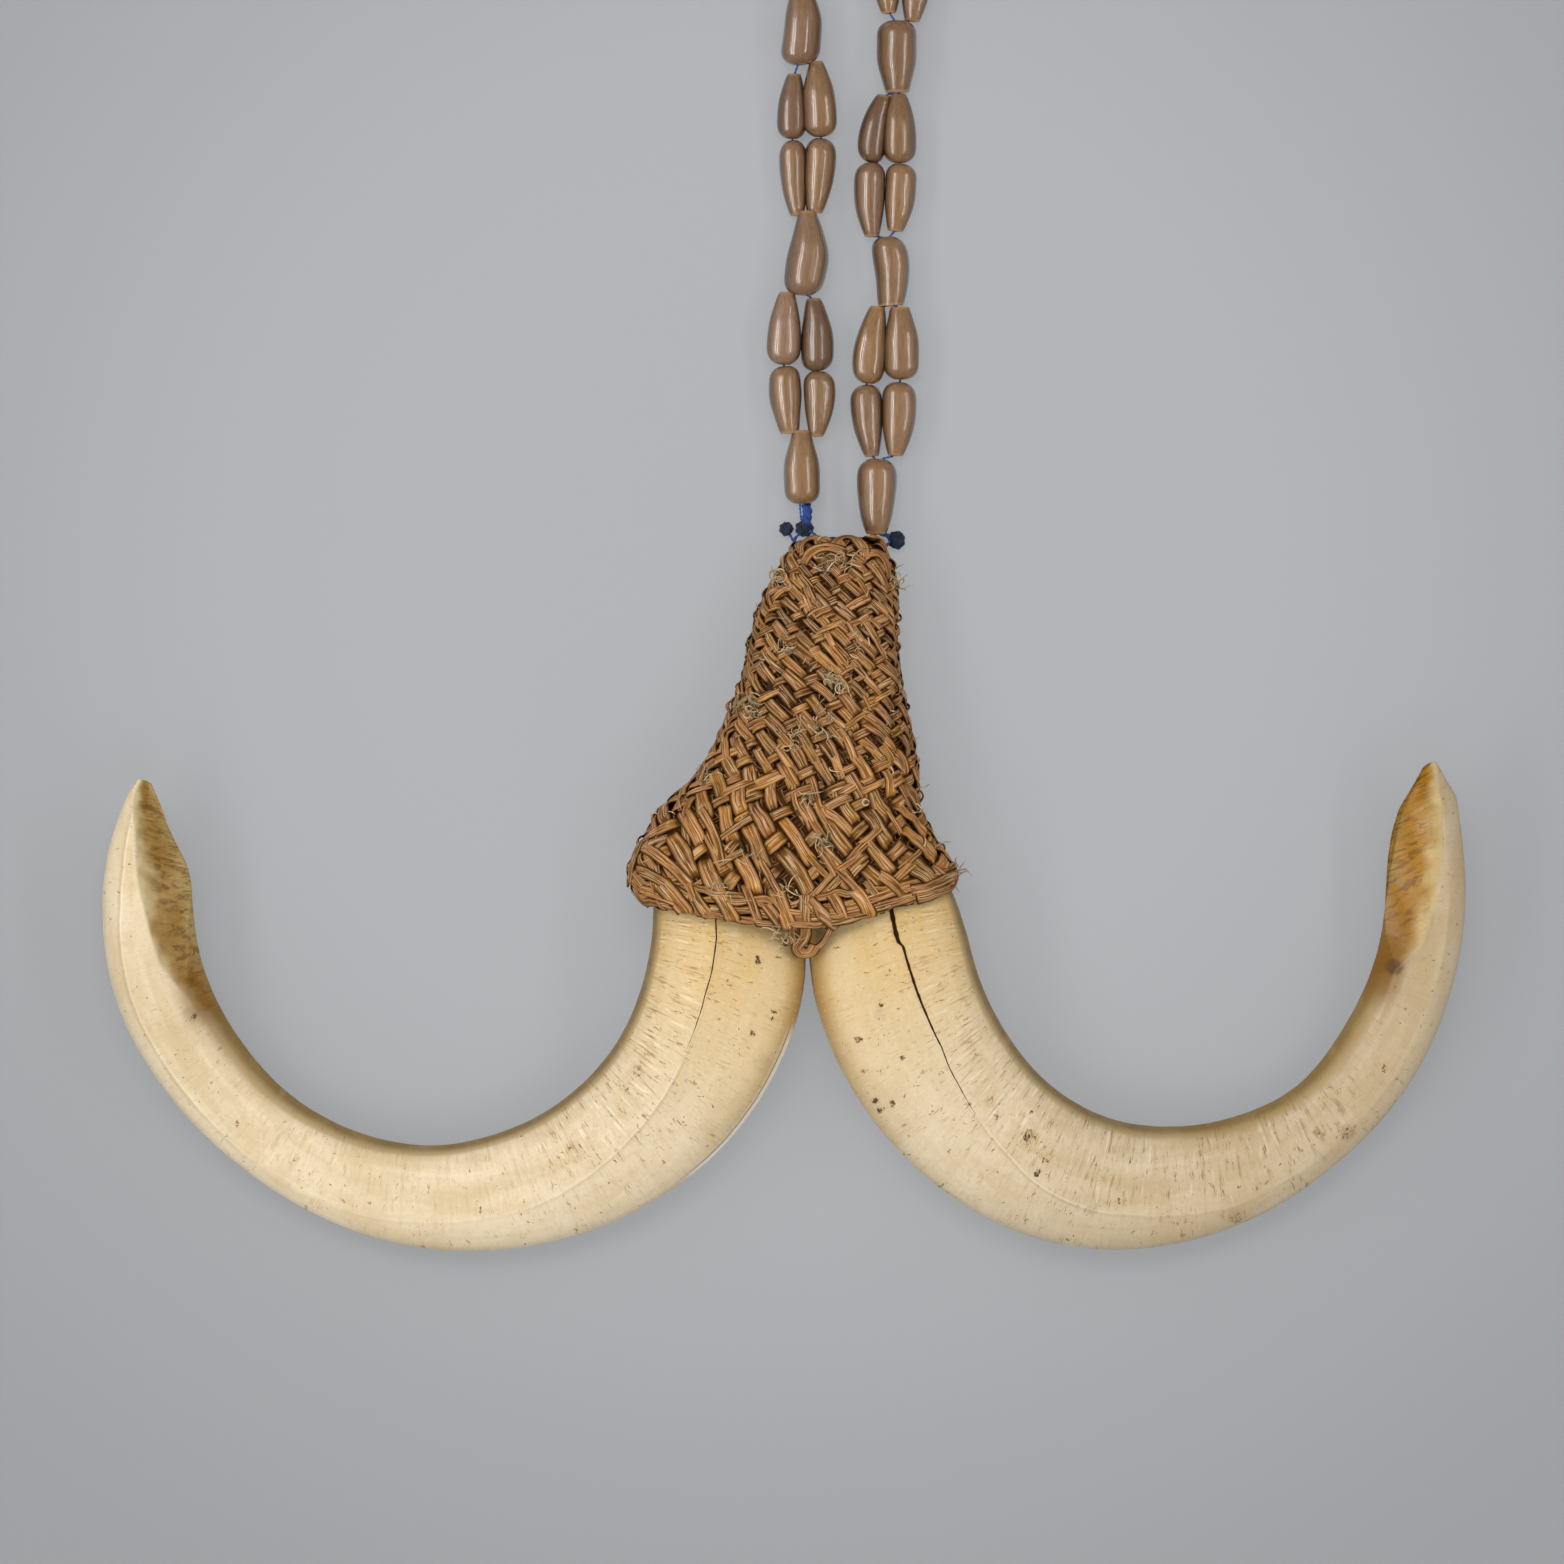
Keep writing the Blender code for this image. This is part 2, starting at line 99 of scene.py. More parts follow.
# Where each tusk's crease runs and how far its wear facet reaches, as turn and share of the
# width from the inner edge, and how wide the crease gapes as a crack, in millimetres.
CREASES = {
    "tusk_left": (
        (-12.0, 0.45), (6.5, 0.426), (20.6, 0.398), (31.3, 0.425), (39.0, 0.452), (49.1, 0.505),
        (65.0, 0.618), (75.6, 0.68), (90.0, 0.72), (100.1, 0.79), (113.6, 0.85), (122.9, 0.842),
        (138.1, 0.804), (159.2, 0.808), (181.0, 0.762), (190.2, 0.734), (201.1, 0.66),
    ),
    "tusk_right": (
        (-9.0, 0.48), (5.0, 0.45), (14.6, 0.42), (24.5, 0.388), (35.1, 0.39), (45.5, 0.453),
        (51.2, 0.489), (59.0, 0.551), (66.2, 0.63), (73.7, 0.678), (81.9, 0.702), (90.0, 0.738),
        (98.4, 0.784), (120.0, 0.80), (204.4, 0.75),
    ),
}
CRACKS = {
    "tusk_left": ((-12.0, 0.10), (8.0, 0.09), (20.0, 0.06), (30.0, 0.03), (42.0, 0.0), (210.0, 0.0)),
    "tusk_right": ((-9.0, 0.34), (6.0, 0.32), (12.5, 0.30), (13.2, 0.17), (22.0, 0.18), (29.0, 0.13),
                   (36.0, 0.07), (47.0, 0.04), (54.0, 0.0), (210.0, 0.0)),
}
FACETS = {
    "tusk_left": ((-12.0, 0.0), (148.0, 0.0), (151.2, 0.20), (157.1, 0.285), (164.6, 0.43),
                  (174.0, 0.50), (182.8, 0.60), (193.3, 0.66), (201.1, 0.9)),
    "tusk_right": ((-9.0, 0.0), (153.0, 0.0), (156.6, 0.22), (161.4, 0.36), (165.7, 0.50),
                   (174.6, 0.61), (187.1, 0.72), (193.4, 0.742), (201.5, 0.76), (204.4, 0.9)),
}

# Sleeve, as in part.py: y, left edge, right edge and thickness, here from the mouth up.
SLEEVE = (
    (0.0, -24.7, 27.4, 22.0), (2.0, -24.8, 27.4, 22.3), (4.6, -24.6, 26.6, 22.0),
    (9.4, -22.6, 23.9, 21.0), (14.2, -19.4, 21.8, 19.6), (19.0, -14.4, 21.4, 18.2),
    (23.8, -11.3, 20.9, 17.0), (28.6, -9.2, 19.7, 16.0), (33.4, -7.3, 19.0, 15.0),
    (38.2, -6.0, 18.2, 14.0), (43.0, -4.9, 18.1, 13.0), (47.8, -3.3, 18.2, 12.0),
    (52.6, -0.7, 17.6, 11.0), (55.0, 0.6, 16.5, 10.2), (56.2, 1.5, 16.2, 9.4),
    (57.1, 3.0, 15.4, 7.5),
)
SLEEVE_TOP = SLEEVE[-1][0]
SLEEVE_POWER = 2.5
BACK_FLAT = 1.2
MOUTH_FROM = 12.0
RIM_FRONT = (
    (-24.8, 2.0), (-22.4, -1.4), (-13.5, -3.2), (-6.3, -4.3), (0.1, -5.4), (4.9, -5.4),
    (9.0, -4.4), (13.7, -3.2), (19.3, -1.6), (24.5, 0.4), (27.4, 1.8),
)
RIM_BACK = ((-24.8, 2.0), (-20.0, -2.0), (-6.0, -4.0), (5.0, -4.6), (15.0, -3.2), (27.4, 1.8))

# Seeds: place, narrow end, wide end, width and width of the narrow end, all as the eye sees
# them; then sideways bow and lean in millimetres, how light it is and how mauve, from 0 to 1.
SEEDS_LEFT = (
    ("single", (2.67, 74.4), (2.74, 62.6), 5.9, 2.6, 0.0, 0.1, 0.62, 0.1),
    ("outer", (0.88, 73.9), (0.05, 84.7), 5.3, 2.9, -0.25, 0.0, 0.60, 0.3),
    ("inner", (5.12, 73.4), (5.49, 83.9), 5.1, 2.1, 0.30, 0.0, 0.50, 0.2),
    ("outer", (0.38, 96.6), (-0.24, 85.0), 5.5, 2.4, -0.10, 0.0, 0.66, 1.0),
    ("inner", (4.67, 95.6), (5.22, 84.0), 5.3, 2.2, 0.30, 0.0, 0.16, 0.3),
    ("single", (3.74, 109.6), (3.10, 96.1), 6.7, 2.4, 0.45, -0.35, 0.48, 0.5),
    ("outer", (2.08, 108.9), (1.35, 121.0), 4.4, 2.1, -0.25, 0.0, 0.50, 0.3),
    ("inner", (4.82, 109.4), (5.89, 121.3), 5.0, 2.5, 0.20, 0.0, 0.58, 0.2),
    ("outer", (1.60, 131.7), (1.20, 121.3), 4.6, 2.1, -0.15, 0.0, 0.28, 0.2),
    ("inner", (5.10, 133.7), (5.89, 121.6), 5.6, 2.1, 0.10, 0.0, 0.48, 0.0),
    ("single", (2.64, 145.6), (2.45, 133.1), 6.4, 3.0, 0.35, -0.30, 0.42, 0.3),
)
SEEDS_RIGHT = (
    ("single", (14.74, 57.7), (14.98, 69.8), 6.4, 3.1, 0.0, 0.0, 0.55, 0.2),
    ("inner", (14.06, 70.2), (13.05, 81.7), 5.1, 2.2, -0.20, 0.0, 0.50, 0.4),
    ("outer", (17.82, 70.3), (18.43, 82.1), 5.6, 2.4, 0.25, 0.0, 0.58, 0.3),
    ("inner", (14.96, 94.3), (13.33, 82.0), 5.3, 2.3, -0.30, 0.0, 0.60, 0.0),
    ("outer", (18.53, 94.2), (18.75, 82.6), 5.8, 3.0, 0.15, 0.0, 0.52, 0.1),
    ("single", (17.12, 94.4), (16.45, 105.5), 5.7, 4.1, 0.55, 0.0, 0.52, 0.3),
    ("inner", (14.08, 105.5), (13.89, 117.4), 5.2, 2.3, -0.30, 0.0, 0.40, 0.4),
    ("outer", (17.79, 106.4), (18.74, 117.2), 5.1, 2.4, 0.25, 0.0, 0.62, 0.1),
    ("inner", (16.02, 128.3), (13.89, 117.5), 4.5, 2.1, -0.55, 0.0, 0.20, 0.2),
    ("outer", (18.30, 128.4), (18.45, 117.4), 5.4, 2.4, 0.05, 0.0, 0.46, 0.1),
    ("single", (18.16, 128.6), (18.02, 140.2), 6.6, 3.7, 0.0, 0.1, 0.40, 0.1),
    ("inner", (16.80, 141.4), (15.80, 153.5), 5.2, 2.3, 0.0, 0.0, 0.60, 0.0),
    ("outer", (20.50, 140.1), (21.90, 152.5), 5.2, 2.4, 0.1, 0.0, 0.50, 0.4),
)
SINGLE_BORE = 0.75
PAIR_BORE = 0.6

# Threads, as in part.py.
THREAD = 0.4
THREAD_PITCH = 0.5
BORE_INSET = 0.035
START_STEPS, BORE_STEPS, BETWEEN_STEPS, END_STEPS = 2, 1, 5, 4
THREAD_STARTS = {
    "thread_left_outer": ((2.7, 60.0, 1.9), (2.55, 61.4, 2.5)),
    "thread_left_inner": ((3.5, 60.0, 1.9), (3.3, 61.4, 2.5)),
    "thread_right_inner": ((14.35, 57.5, 3.2),),
    "thread_right_outer": ((16.45, 57.5, 1.9), (15.75, 57.5, 2.6)),
}
THREAD_ENDS = {
    "thread_left_outer": ((2.2, 150.0, 2.2), (2.4, 155.0, 0.8), (3.5, 160.2, 0.3),
                          (5.9, 164.7, 0.3), (8.7, 167.1, 0.7)),
    "thread_left_inner": ((2.9, 150.0, 2.2), (3.1, 155.0, 0.8), (4.3, 159.7, 0.3),
                          (6.5, 164.0, 0.3), (8.75, 166.4, 0.7)),
    "thread_right_inner": ((15.7, 157.2, 1.2), (15.1, 160.5, 0.3), (13.8, 164.2, 0.3),
                           (12.3, 166.3, 0.7)),
    "thread_right_outer": ((22.2, 156.2, 1.4), (21.2, 160.5, 0.3), (17.6, 165.2, 0.3),
                           (12.4, 167.3, 0.7)),
}
KNOTS = {
    "knot_left_outer": ((0.4, 58.6, 0.95), (0.95, 1.0, 0.95)),
    "knot_left_inner": ((3.1, 58.5, 1.2), (1.45, 1.15, 1.2)),
    "knot_right": ((17.9, 57.0, 1.25), (1.2, 1.5, 1.25)),
    "knot_loop": ((10.5, 167.0, 1.1), (1.35, 1.1, 1.1)),
}


# Number work

def curve(t, start, start_slope, end, end_slope):
    """A cubic from start to end at t, with its slopes for a span of 1."""
    return (start * (2 * t**3 - 3 * t**2 + 1) + start_slope * (t**3 - 2 * t**2 + t)
            + end * (3 * t**2 - 2 * t**3) + end_slope * (t**3 - t**2))


def smooth_row(table, x):
    """The values at x, on a smooth curve through the rows of a table whose first column is x."""
    last = len(table) - 1
    x = min(max(x, table[0][0]), table[last][0])
    i = max(k for k in range(last) if table[k][0] <= x)

    def slope(k, column):
        low, high = max(k - 1, 0), min(k + 1, last)
        return (table[high][column] - table[low][column]) / (table[high][0] - table[low][0])

    span = table[i + 1][0] - table[i][0]
    t = (x - table[i][0]) / span
    return [curve(t, table[i][column], slope(i, column) * span,
                  table[i + 1][column], slope(i + 1, column) * span)
            for column in range(1, len(table[0]))]


def straight(table, x, column=1):
    """One column of a table at x, on straight lines between its rows; x may be an array."""
    return np.interp(x, [row[0] for row in table], [row[column] for row in table])


def smooth_path(points, samples):
    """Points on a smooth curve through the given ones, with samples[i] steps in span i."""
    path = [Vector(point) for point in points]
    last = len(path) - 1
    knots = [0.0]
    for a, b in zip(path, path[1:]):
        knots.append(knots[-1] + max((b - a).length, 1e-6))

    def slope(i):
        low, high = max(i - 1, 0), min(i + 1, last)
        return (path[high] - path[low]) / (knots[high] - knots[low])

    line = [path[0]]
    for i, steps in enumerate(samples):
        span = knots[i + 1] - knots[i]
        out, into = slope(i) * span, slope(i + 1) * span
        line += [curve(step / steps, path[i], out, path[i + 1], into) for step in range(1, steps + 1)]
    return line


def arc_lengths(line):
    """How far along a line each of its points is."""
    return np.concatenate(([0.0], np.cumsum(np.linalg.norm(np.diff(line, axis=0), axis=1))))


def points_at(line, lengths, places):
    """The points at places along a line whose own points are at the given lengths."""
    return np.stack([np.interp(places, lengths, line[:, axis]) for axis in range(3)], axis=1)


def even_path(points, step):
    """A smooth curve through the points, with its own points about one step apart."""
    rough = np.array([tuple(point) for point in smooth_path(points, [16] * (len(points) - 1))])
    lengths = arc_lengths(rough)
    places = np.linspace(0.0, lengths[-1], max(3, int(lengths[-1] / step) + 1))
    return points_at(rough, lengths, places)


def rise(x, low, high):
    """0 below low, 1 above high and smooth between."""
    t = np.clip((np.asarray(x, dtype=float) - low) / (high - low), 0.0, 1.0)
    return t * t * (3 - 2 * t)


def ripple(x, longest, dice, waves=4):
    """A smooth wandering value between about -1 and 1, with its longest wave given."""
    x = np.asarray(x, dtype=float)
    total = np.zeros_like(x)
    for wave in range(waves):
        length = longest * dice.uniform(0.75, 1.25) / 1.8**wave
        total += np.sin(x * math.tau / length + dice.uniform(0.0, math.tau)) / 1.6**wave
    return total / 1.9


# Meshes

class Bundle:
    """Swept rings gathered into one mesh, with values for its materials at every point."""

    def __init__(self):
        self.points, self.faces, self.values, self.count = [], [], {}, 0

    def add(self, rings, loop=False, **values):
        """Add rows of rings, an array of row, column and xyz in millimetres, capped unless a loop."""
        rows, columns = rings.shape[:2]
        index = np.arange(rows * columns).reshape(rows, columns) + self.count
        beside = np.roll(index, -1, axis=1)
        ahead = np.roll(beside, -1, axis=0), np.roll(index, -1, axis=0)
        quads = np.stack((index, beside, *ahead), axis=-1)
        self.faces += (quads if loop else quads[:-1]).reshape(-1, 4).tolist()
        if not loop:
            self.faces += [index[0][::-1].tolist(), index[-1].tolist()]
        self.points.append(rings.reshape(-1, 3))
        for name, value in values.items():
            wide = (3,) if np.ndim(value) == 3 else ()
            full = np.broadcast_to(value, (rows, columns) + wide)
            self.values.setdefault(name, []).append(full.reshape((-1,) + wide))
        self.count += rows * columns

    def make(self, name, finish):
        """Make the object, which rides on the root body and takes a slot's finish."""
        mesh = bpy.data.meshes.new(name)
        mesh.from_pydata((np.concatenate(self.points) * MM).tolist(), [], self.faces)
        for key, parts in self.values.items():
            numbers = np.concatenate(parts).astype(np.float32)
            vector = numbers.ndim == 2
            kept = mesh.attributes.new(key, "FLOAT_VECTOR" if vector else "FLOAT", "POINT")
            kept.data.foreach_set("vector" if vector else "value", numbers.ravel())
        shape = bmesh.new()
        shape.from_mesh(mesh)
        bmesh.ops.recalc_face_normals(shape, faces=shape.faces)
        shape.to_mesh(mesh)
        shape.free()
        mesh.shade_smooth()
        mesh.materials.append(finish)
        piece = bpy.data.objects.new(name, mesh)
        SCENE.collection.objects.link(piece)
        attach(piece, "root")
        return piece


def unit(vectors):
    return vectors / np.maximum(np.linalg.norm(vectors, axis=-1, keepdims=True), 1e-9)


def frames_along(path, normals=None, loop=False):
    """Side and up directions at each point of a path, from its normals or carried along it."""
    if loop:
        along = unit(np.roll(path, -1, axis=0) - np.roll(path, 1, axis=0))
    else:
        along = unit(np.gradient(path, axis=0))
    if normals is None:
        up = np.zeros_like(path)
        start = np.array((0.0, 0.0, 1.0)) if abs(along[0][2]) < 0.9 else np.array((1.0, 0.0, 0.0))
        up[0] = unit(start - along[0] * along[0].dot(start))
        for i in range(1, len(path)):
            up[i] = unit(up[i - 1] - along[i] * along[i].dot(up[i - 1]))
    else:
        up = unit(normals - along * np.sum(normals * along, axis=1, keepdims=True))
    return np.cross(along, up), up


def sweep(path, section, wide, high, normals=None, loop=False, roll=None):
    """Rings of a section, given as (side, up) pairs, carried along a path and scaled."""
    side, up = frames_along(path, normals, loop)
    if roll is not None:
        turned = np.cos(roll)[:, None], np.sin(roll)[:, None]
        side, up = side * turned[0] + up * turned[1], up * turned[0] - side * turned[1]
    count = len(path)
    wide = np.broadcast_to(wide, (count,))[:, None, None]
    high = np.broadcast_to(high, (count,))[:, None, None]
    section = np.asarray(section)
    return (path[:, None, :] + side[:, None, :] * section[None, :, :1] * wide
            + up[:, None, :] * section[None, :, 1:] * high)


def round_section(sides):
    turns = np.arange(sides) * math.tau / sides
    return np.stack((np.cos(turns), np.sin(turns)), axis=1)


def lay_along(path, columns, across):
    """Each point's place along and across its piece, in millimetres."""
    lay = np.zeros((len(path), columns, 3))
    lay[:, :, 0] = arc_lengths(path)[:, None]
    lay[:, :, 1] = across
    return lay


# Shader nodes

def srgb(red, green, blue):
    """A colour given as screen values from 0 to 255, as the linear values that shaders take."""
    shares = [value / 255 for value in (red, green, blue)]
    line = [share / 12.92 if share <= 0.04045 else ((share + 0.055) / 1.055)**2.4 for share in shares]
    return (*line, 1.0)


def feed(tree, node, inputs):
    """Set a node's inputs, each to a value or to the socket that feeds it."""
    for name, value in inputs.items():
        if isinstance(value, bpy.types.NodeSocket):
            tree.links.new(value, node.inputs[name])
        else:
            node.inputs[name].default_value = value


def put(tree, kind, inputs, **settings):
    """Add a node with its settings and inputs."""
    node = tree.nodes.new(kind)
    for name, value in settings.items():
        setattr(node, name, value)
    feed(tree, node, inputs)
    return node


def maths(tree, operation, first, second=0.0):
    return put(tree, "ShaderNodeMath", {0: first, 1: second}, operation=operation).outputs[0]


def times(tree, first, second):
    return maths(tree, "MULTIPLY", first, second)


def plus(tree, first, second):
    return maths(tree, "ADD", first, second)


def minus(tree, first, second):
    return maths(tree, "SUBTRACT", first, second)


def gap(tree, value, level):
    """How far the value is from the level, either way."""
    return maths(tree, "ABSOLUTE", minus(tree, value, level))


def ramp(tree, value, low, high, start=0.0, end=1.0):
    """The value carried smoothly from low..high to start..end."""
    inputs = {"Value": value, "From Min": low, "From Max": high, "To Min": start, "To Max": end}
    return put(tree, "ShaderNodeMapRange", inputs, interpolation_type="SMOOTHSTEP").outputs[0]


def mix(tree, share, first, second, mode="MIX"):
    inputs = {0: share, 6: first, 7: second}
    return put(tree, "ShaderNodeMix", inputs, data_type="RGBA", blend_type=mode).outputs[2]


def cover(tree, colour, *layers):
    """The colour with layers over it, each given as its share and its screen values."""
    for share, tint in layers:
        colour = mix(tree, share, colour, srgb(*tint))
    return colour


def bump(tree, height, strength, depth):
    inputs = {"Height": height, "Strength": strength, "Distance": depth}
    return put(tree, "ShaderNodeBump", inputs).outputs[0]


def place_in_mm(tree):
    place = put(tree, "ShaderNodeTexCoord", {}).outputs["Object"]
    return stretch(tree, place, (1 / MM, 1 / MM, 1 / MM))


def stretch(tree, vector, scales):
    return put(tree, "ShaderNodeVectorMath", {0: vector, 1: scales}, operation="MULTIPLY").outputs[0]


def noise(tree, vector, scale=1.0, detail=2.0, rough=0.5, swirl=0.0):
    inputs = {"Vector": vector, "Scale": scale, "Detail": detail, "Roughness": rough, "Distortion": swirl}
    return put(tree, "ShaderNodeTexNoise", inputs).outputs[0]


def attribute(tree, name, output="Fac"):
    return put(tree, "ShaderNodeAttribute", {}, attribute_name=name).outputs[output]


def new_material(name):
    finish = bpy.data.materials.new(name)
    finish.use_nodes = True
    return finish, finish.node_tree, finish.node_tree.nodes["Principled BSDF"]


def new_group(name, inputs, outputs):
    """An empty node group; inputs and outputs are (name, socket type, value) rows."""
    group = bpy.data.node_groups.new(name, "ShaderNodeTree")
    for direction, rows in (("INPUT", inputs), ("OUTPUT", outputs)):
        for row in rows:
            socket = group.interface.new_socket(row[0], in_out=direction, socket_type=row[1])
            if len(row) > 2:
                socket.default_value = row[2]
    return group, group.nodes.new("NodeGroupInput").outputs, group.nodes.new("NodeGroupOutput").inputs


def fibre_grain_group():
    """Streaks that run along a piece, fine ones and broad ones, and a mottle over them."""
    group, given, result = new_group(
        "fibre grain",
        (("Place", "NodeSocketVector"), ("Fineness", "NodeSocketFloat", 6.0),
         ("Stretch", "NodeSocketFloat", 0.05)),
        (("Streaks", "NodeSocketFloat"), ("Bands", "NodeSocketFloat"), ("Mottle", "NodeSocketFloat")),
    )
    along = times(group, given["Fineness"], given["Stretch"])
    parts = {"X": along, "Y": given["Fineness"], "Z": given["Fineness"]}
    scales = put(group, "ShaderNodeCombineXYZ", parts).outputs[0]
    place = stretch(group, given["Place"], scales)
    group.links.new(noise(group, place, 1.0, 4.0, 0.6), result["Streaks"])
    group.links.new(noise(group, place, 0.3, 2.0, 0.5, 0.4), result["Bands"])
    group.links.new(noise(group, given["Place"], 0.45, 3.0, 0.55), result["Mottle"])
    return group


def spot_group():
    """A soft ragged spot round a centre; stretched spots are longer along one direction."""
    group, given, result = new_group(
        "ragged spot",
        (("Place", "NodeSocketVector"), ("Centre", "NodeSocketVector"), ("Size", "NodeSocketFloat", 1.0),
         ("Ragged", "NodeSocketFloat", 0.0)),
        (("Mask", "NodeSocketFloat"),),
    )
    away = put(group, "ShaderNodeVectorMath", {0: given["Place"], 1: given["Centre"]}, operation="SUBTRACT")
    flat = stretch(group, away.outputs[0], (1.0, 1.0, 0.0))
    length = put(group, "ShaderNodeVectorMath", {0: flat}, operation="LENGTH").outputs["Value"]
    reach = plus(group, maths(group, "DIVIDE", length, given["Size"]), given["Ragged"])
    group.links.new(ramp(group, reach, 0.55, 1.25, 1.0, 0.0), result["Mask"])
    return group


def use_group(tree, group, inputs):
    return put(tree, "ShaderNodeGroup", inputs, node_tree=group).outputs


GRAIN = fibre_grain_group()
SPOT = spot_group()

# What a tusk's finish reads at each point of it.
TOOTH_VALUES = ("inner", "facet", "worn", "root", "band", "gape", "front", "falloff_shade", "growth", "outer",
                "crisp", "foot", "chip", "share")

# Marks on the tusks' fronts: x, y, radius and darkness.
MARKS = {
    "tusk_left": (
        (-4.2, -10.4, 0.5, 0.9), (-6.0, -6.6, 0.5, 0.4), (-1.7, -18.6, 0.45, 0.9),
        (-1.9, -19.7, 0.35, 0.8), (-4.7, -19.2, 0.45, 0.5), (-5.2, -21.9, 0.5, 0.8),
        (-17.4, -22.6, 0.3, 0.6), (-41.8, -38.7, 0.45, 0.6), (-22.8, -38.7, 0.35, 0.4),
        (-41.7, -54.9, 0.5, 0.45), (-77.4, -46.1, 0.6, 0.6), (-94.1, -19.5, 0.4, 0.9),
        (-95.3, -18.4, 0.4, 0.3), (-25.4, -30.7, 0.8, 0.5), (-23.4, -28.2, 0.8, 0.5),
        (0.1, -7.6, 0.5, 0.9), (-9.9, -30.6, 0.5, 0.25), (-6.6, -28.5, 1.0, 0.25),
    ),
    "tusk_right": (
        (15.4, -17.4, 0.4, 0.9), (11.7, -23.1, 0.5, 0.8), (18.8, -26.0, 0.4, 0.9),
        (20.6, -23.5, 0.25, 0.6), (12.8, -28.0, 0.6, 0.45), (15.4, -28.4, 0.6, 0.45),
        (14.3, -30.9, 0.4, 0.35), (14.6, -32.8, 0.45, 0.95), (15.3, -34.3, 0.5, 0.8),
        (17.2, -33.3, 0.45, 0.9), (27.9, -34.1, 0.4, 0.3), (32.9, -33.1, 0.9, 0.5),
        (33.8, -35.3, 0.8, 0.5), (39.3, -34.6, 0.3, 0.8), (38.7, -38.4, 0.7, 0.7),
        (39.0, -39.8, 0.4, 0.6), (41.5, -42.4, 0.5, 0.6), (40.4, -44.4, 0.5, 0.75),
        (26.6, -43.7, 0.8, 0.25), (30.6, -49.0, 0.8, 0.35), (72.2, -51.8, 0.8, 0.6),
        (71.0, -50.8, 0.7, 0.3), (89.8, -38.2, 1.1, 0.55), (98.0, -28.0, 1.0, 0.2),
        (49.0, -50.4, 0.9, 0.45), (46.5, -50.0, 0.4, 0.35),
    ),
}
# Soft smudges: x, y, radius and darkness.
SMUDGES = {
    "tusk_left": ((-1.6, -6.0, 2.6, 0.22), (1.2, -8.6, 1.8, 0.28), (-5.0, -5.6, 2.0, 0.10),
                  (-3.6, -27.0, 1.6, 0.10), (-12.0, -37.0, 1.4, 0.10), (-94.8, -19.2, 1.2, 0.12)),
    "tusk_right": ((97.3, -11.6, 1.4, 0.9), (90.0, -38.0, 1.5, 0.2), (72.0, -51.4, 1.3, 0.16),
                   (15.2, -19.0, 1.2, 0.12), (49.0, -50.4, 1.0, 0.12)),
}
# How much each tusk is darkened at each turn: painted shade where the light falls off, strongest towards
# the right tusk's tip.
LIGHT_FALLOFF_SHADE = {
    "tusk_left": ((-12.0, 0.10), (20.0, 0.0), (40.0, 0.12), (60.0, 0.1), (80.0, 0.0), (130.0, 0.0),
                  (150.0, 0.2), (165.0, 0.15), (180.0, 0.0), (210.0, 0.0)),
    "tusk_right": ((-9.0, 0.0), (30.0, 0.1), (55.0, 0.25), (70.0, 0.68), (90.0, 0.75), (120.0, 1.0),
                   (150.0, 1.15), (160.0, 1.35), (175.0, 1.5), (210.0, 1.5)),
}
# How clearly the crease shows: the height of its lip and the strength of its painted highlight and shade
# lines.
CRISPNESS = {
    "tusk_left": ((-12.0, 0.15), (26.0, 0.25), (34.0, 0.6), (60.0, 0.4), (80.0, 0.15), (122.0, 0.1),
                  (136.0, 0.45), (190.0, 0.55), (196.0, 0.3), (210.0, 0.0)),
    "tusk_right": ((-9.0, 0.0), (40.0, 0.2), (54.0, 0.55), (72.0, 0.6), (84.0, 0.25), (104.0, 0.2),
                   (116.0, 0.0), (210.0, 0.0)),
}
# How strongly its growth lines show.
GROWTH = {
    "tusk_left": ((-12.0, 0.9), (15.0, 0.9), (25.0, 1.0), (62.0, 0.9), (75.0, 0.35), (130.0, 0.3),
                  (150.0, 0.12), (210.0, 0.1)),
    "tusk_right": ((-9.0, 0.7), (25.0, 0.7), (38.0, 0.7), (60.0, 0.9), (115.0, 0.9), (135.0, 0.4),
                   (150.0, 0.15), (210.0, 0.1)),
}

# The stain that runs on below each facet, down the inner face.
FACET_FEET = {
    "tusk_left": ((140.0, 0.0), (147.0, 0.25), (152.0, 0.7), (158.0, 0.5), (165.0, 0.0)),
    "tusk_right": ((146.0, 0.0), (152.0, 0.7), (158.0, 0.95), (166.0, 0.7), (176.0, 0.15), (184.0, 0.0)),
}


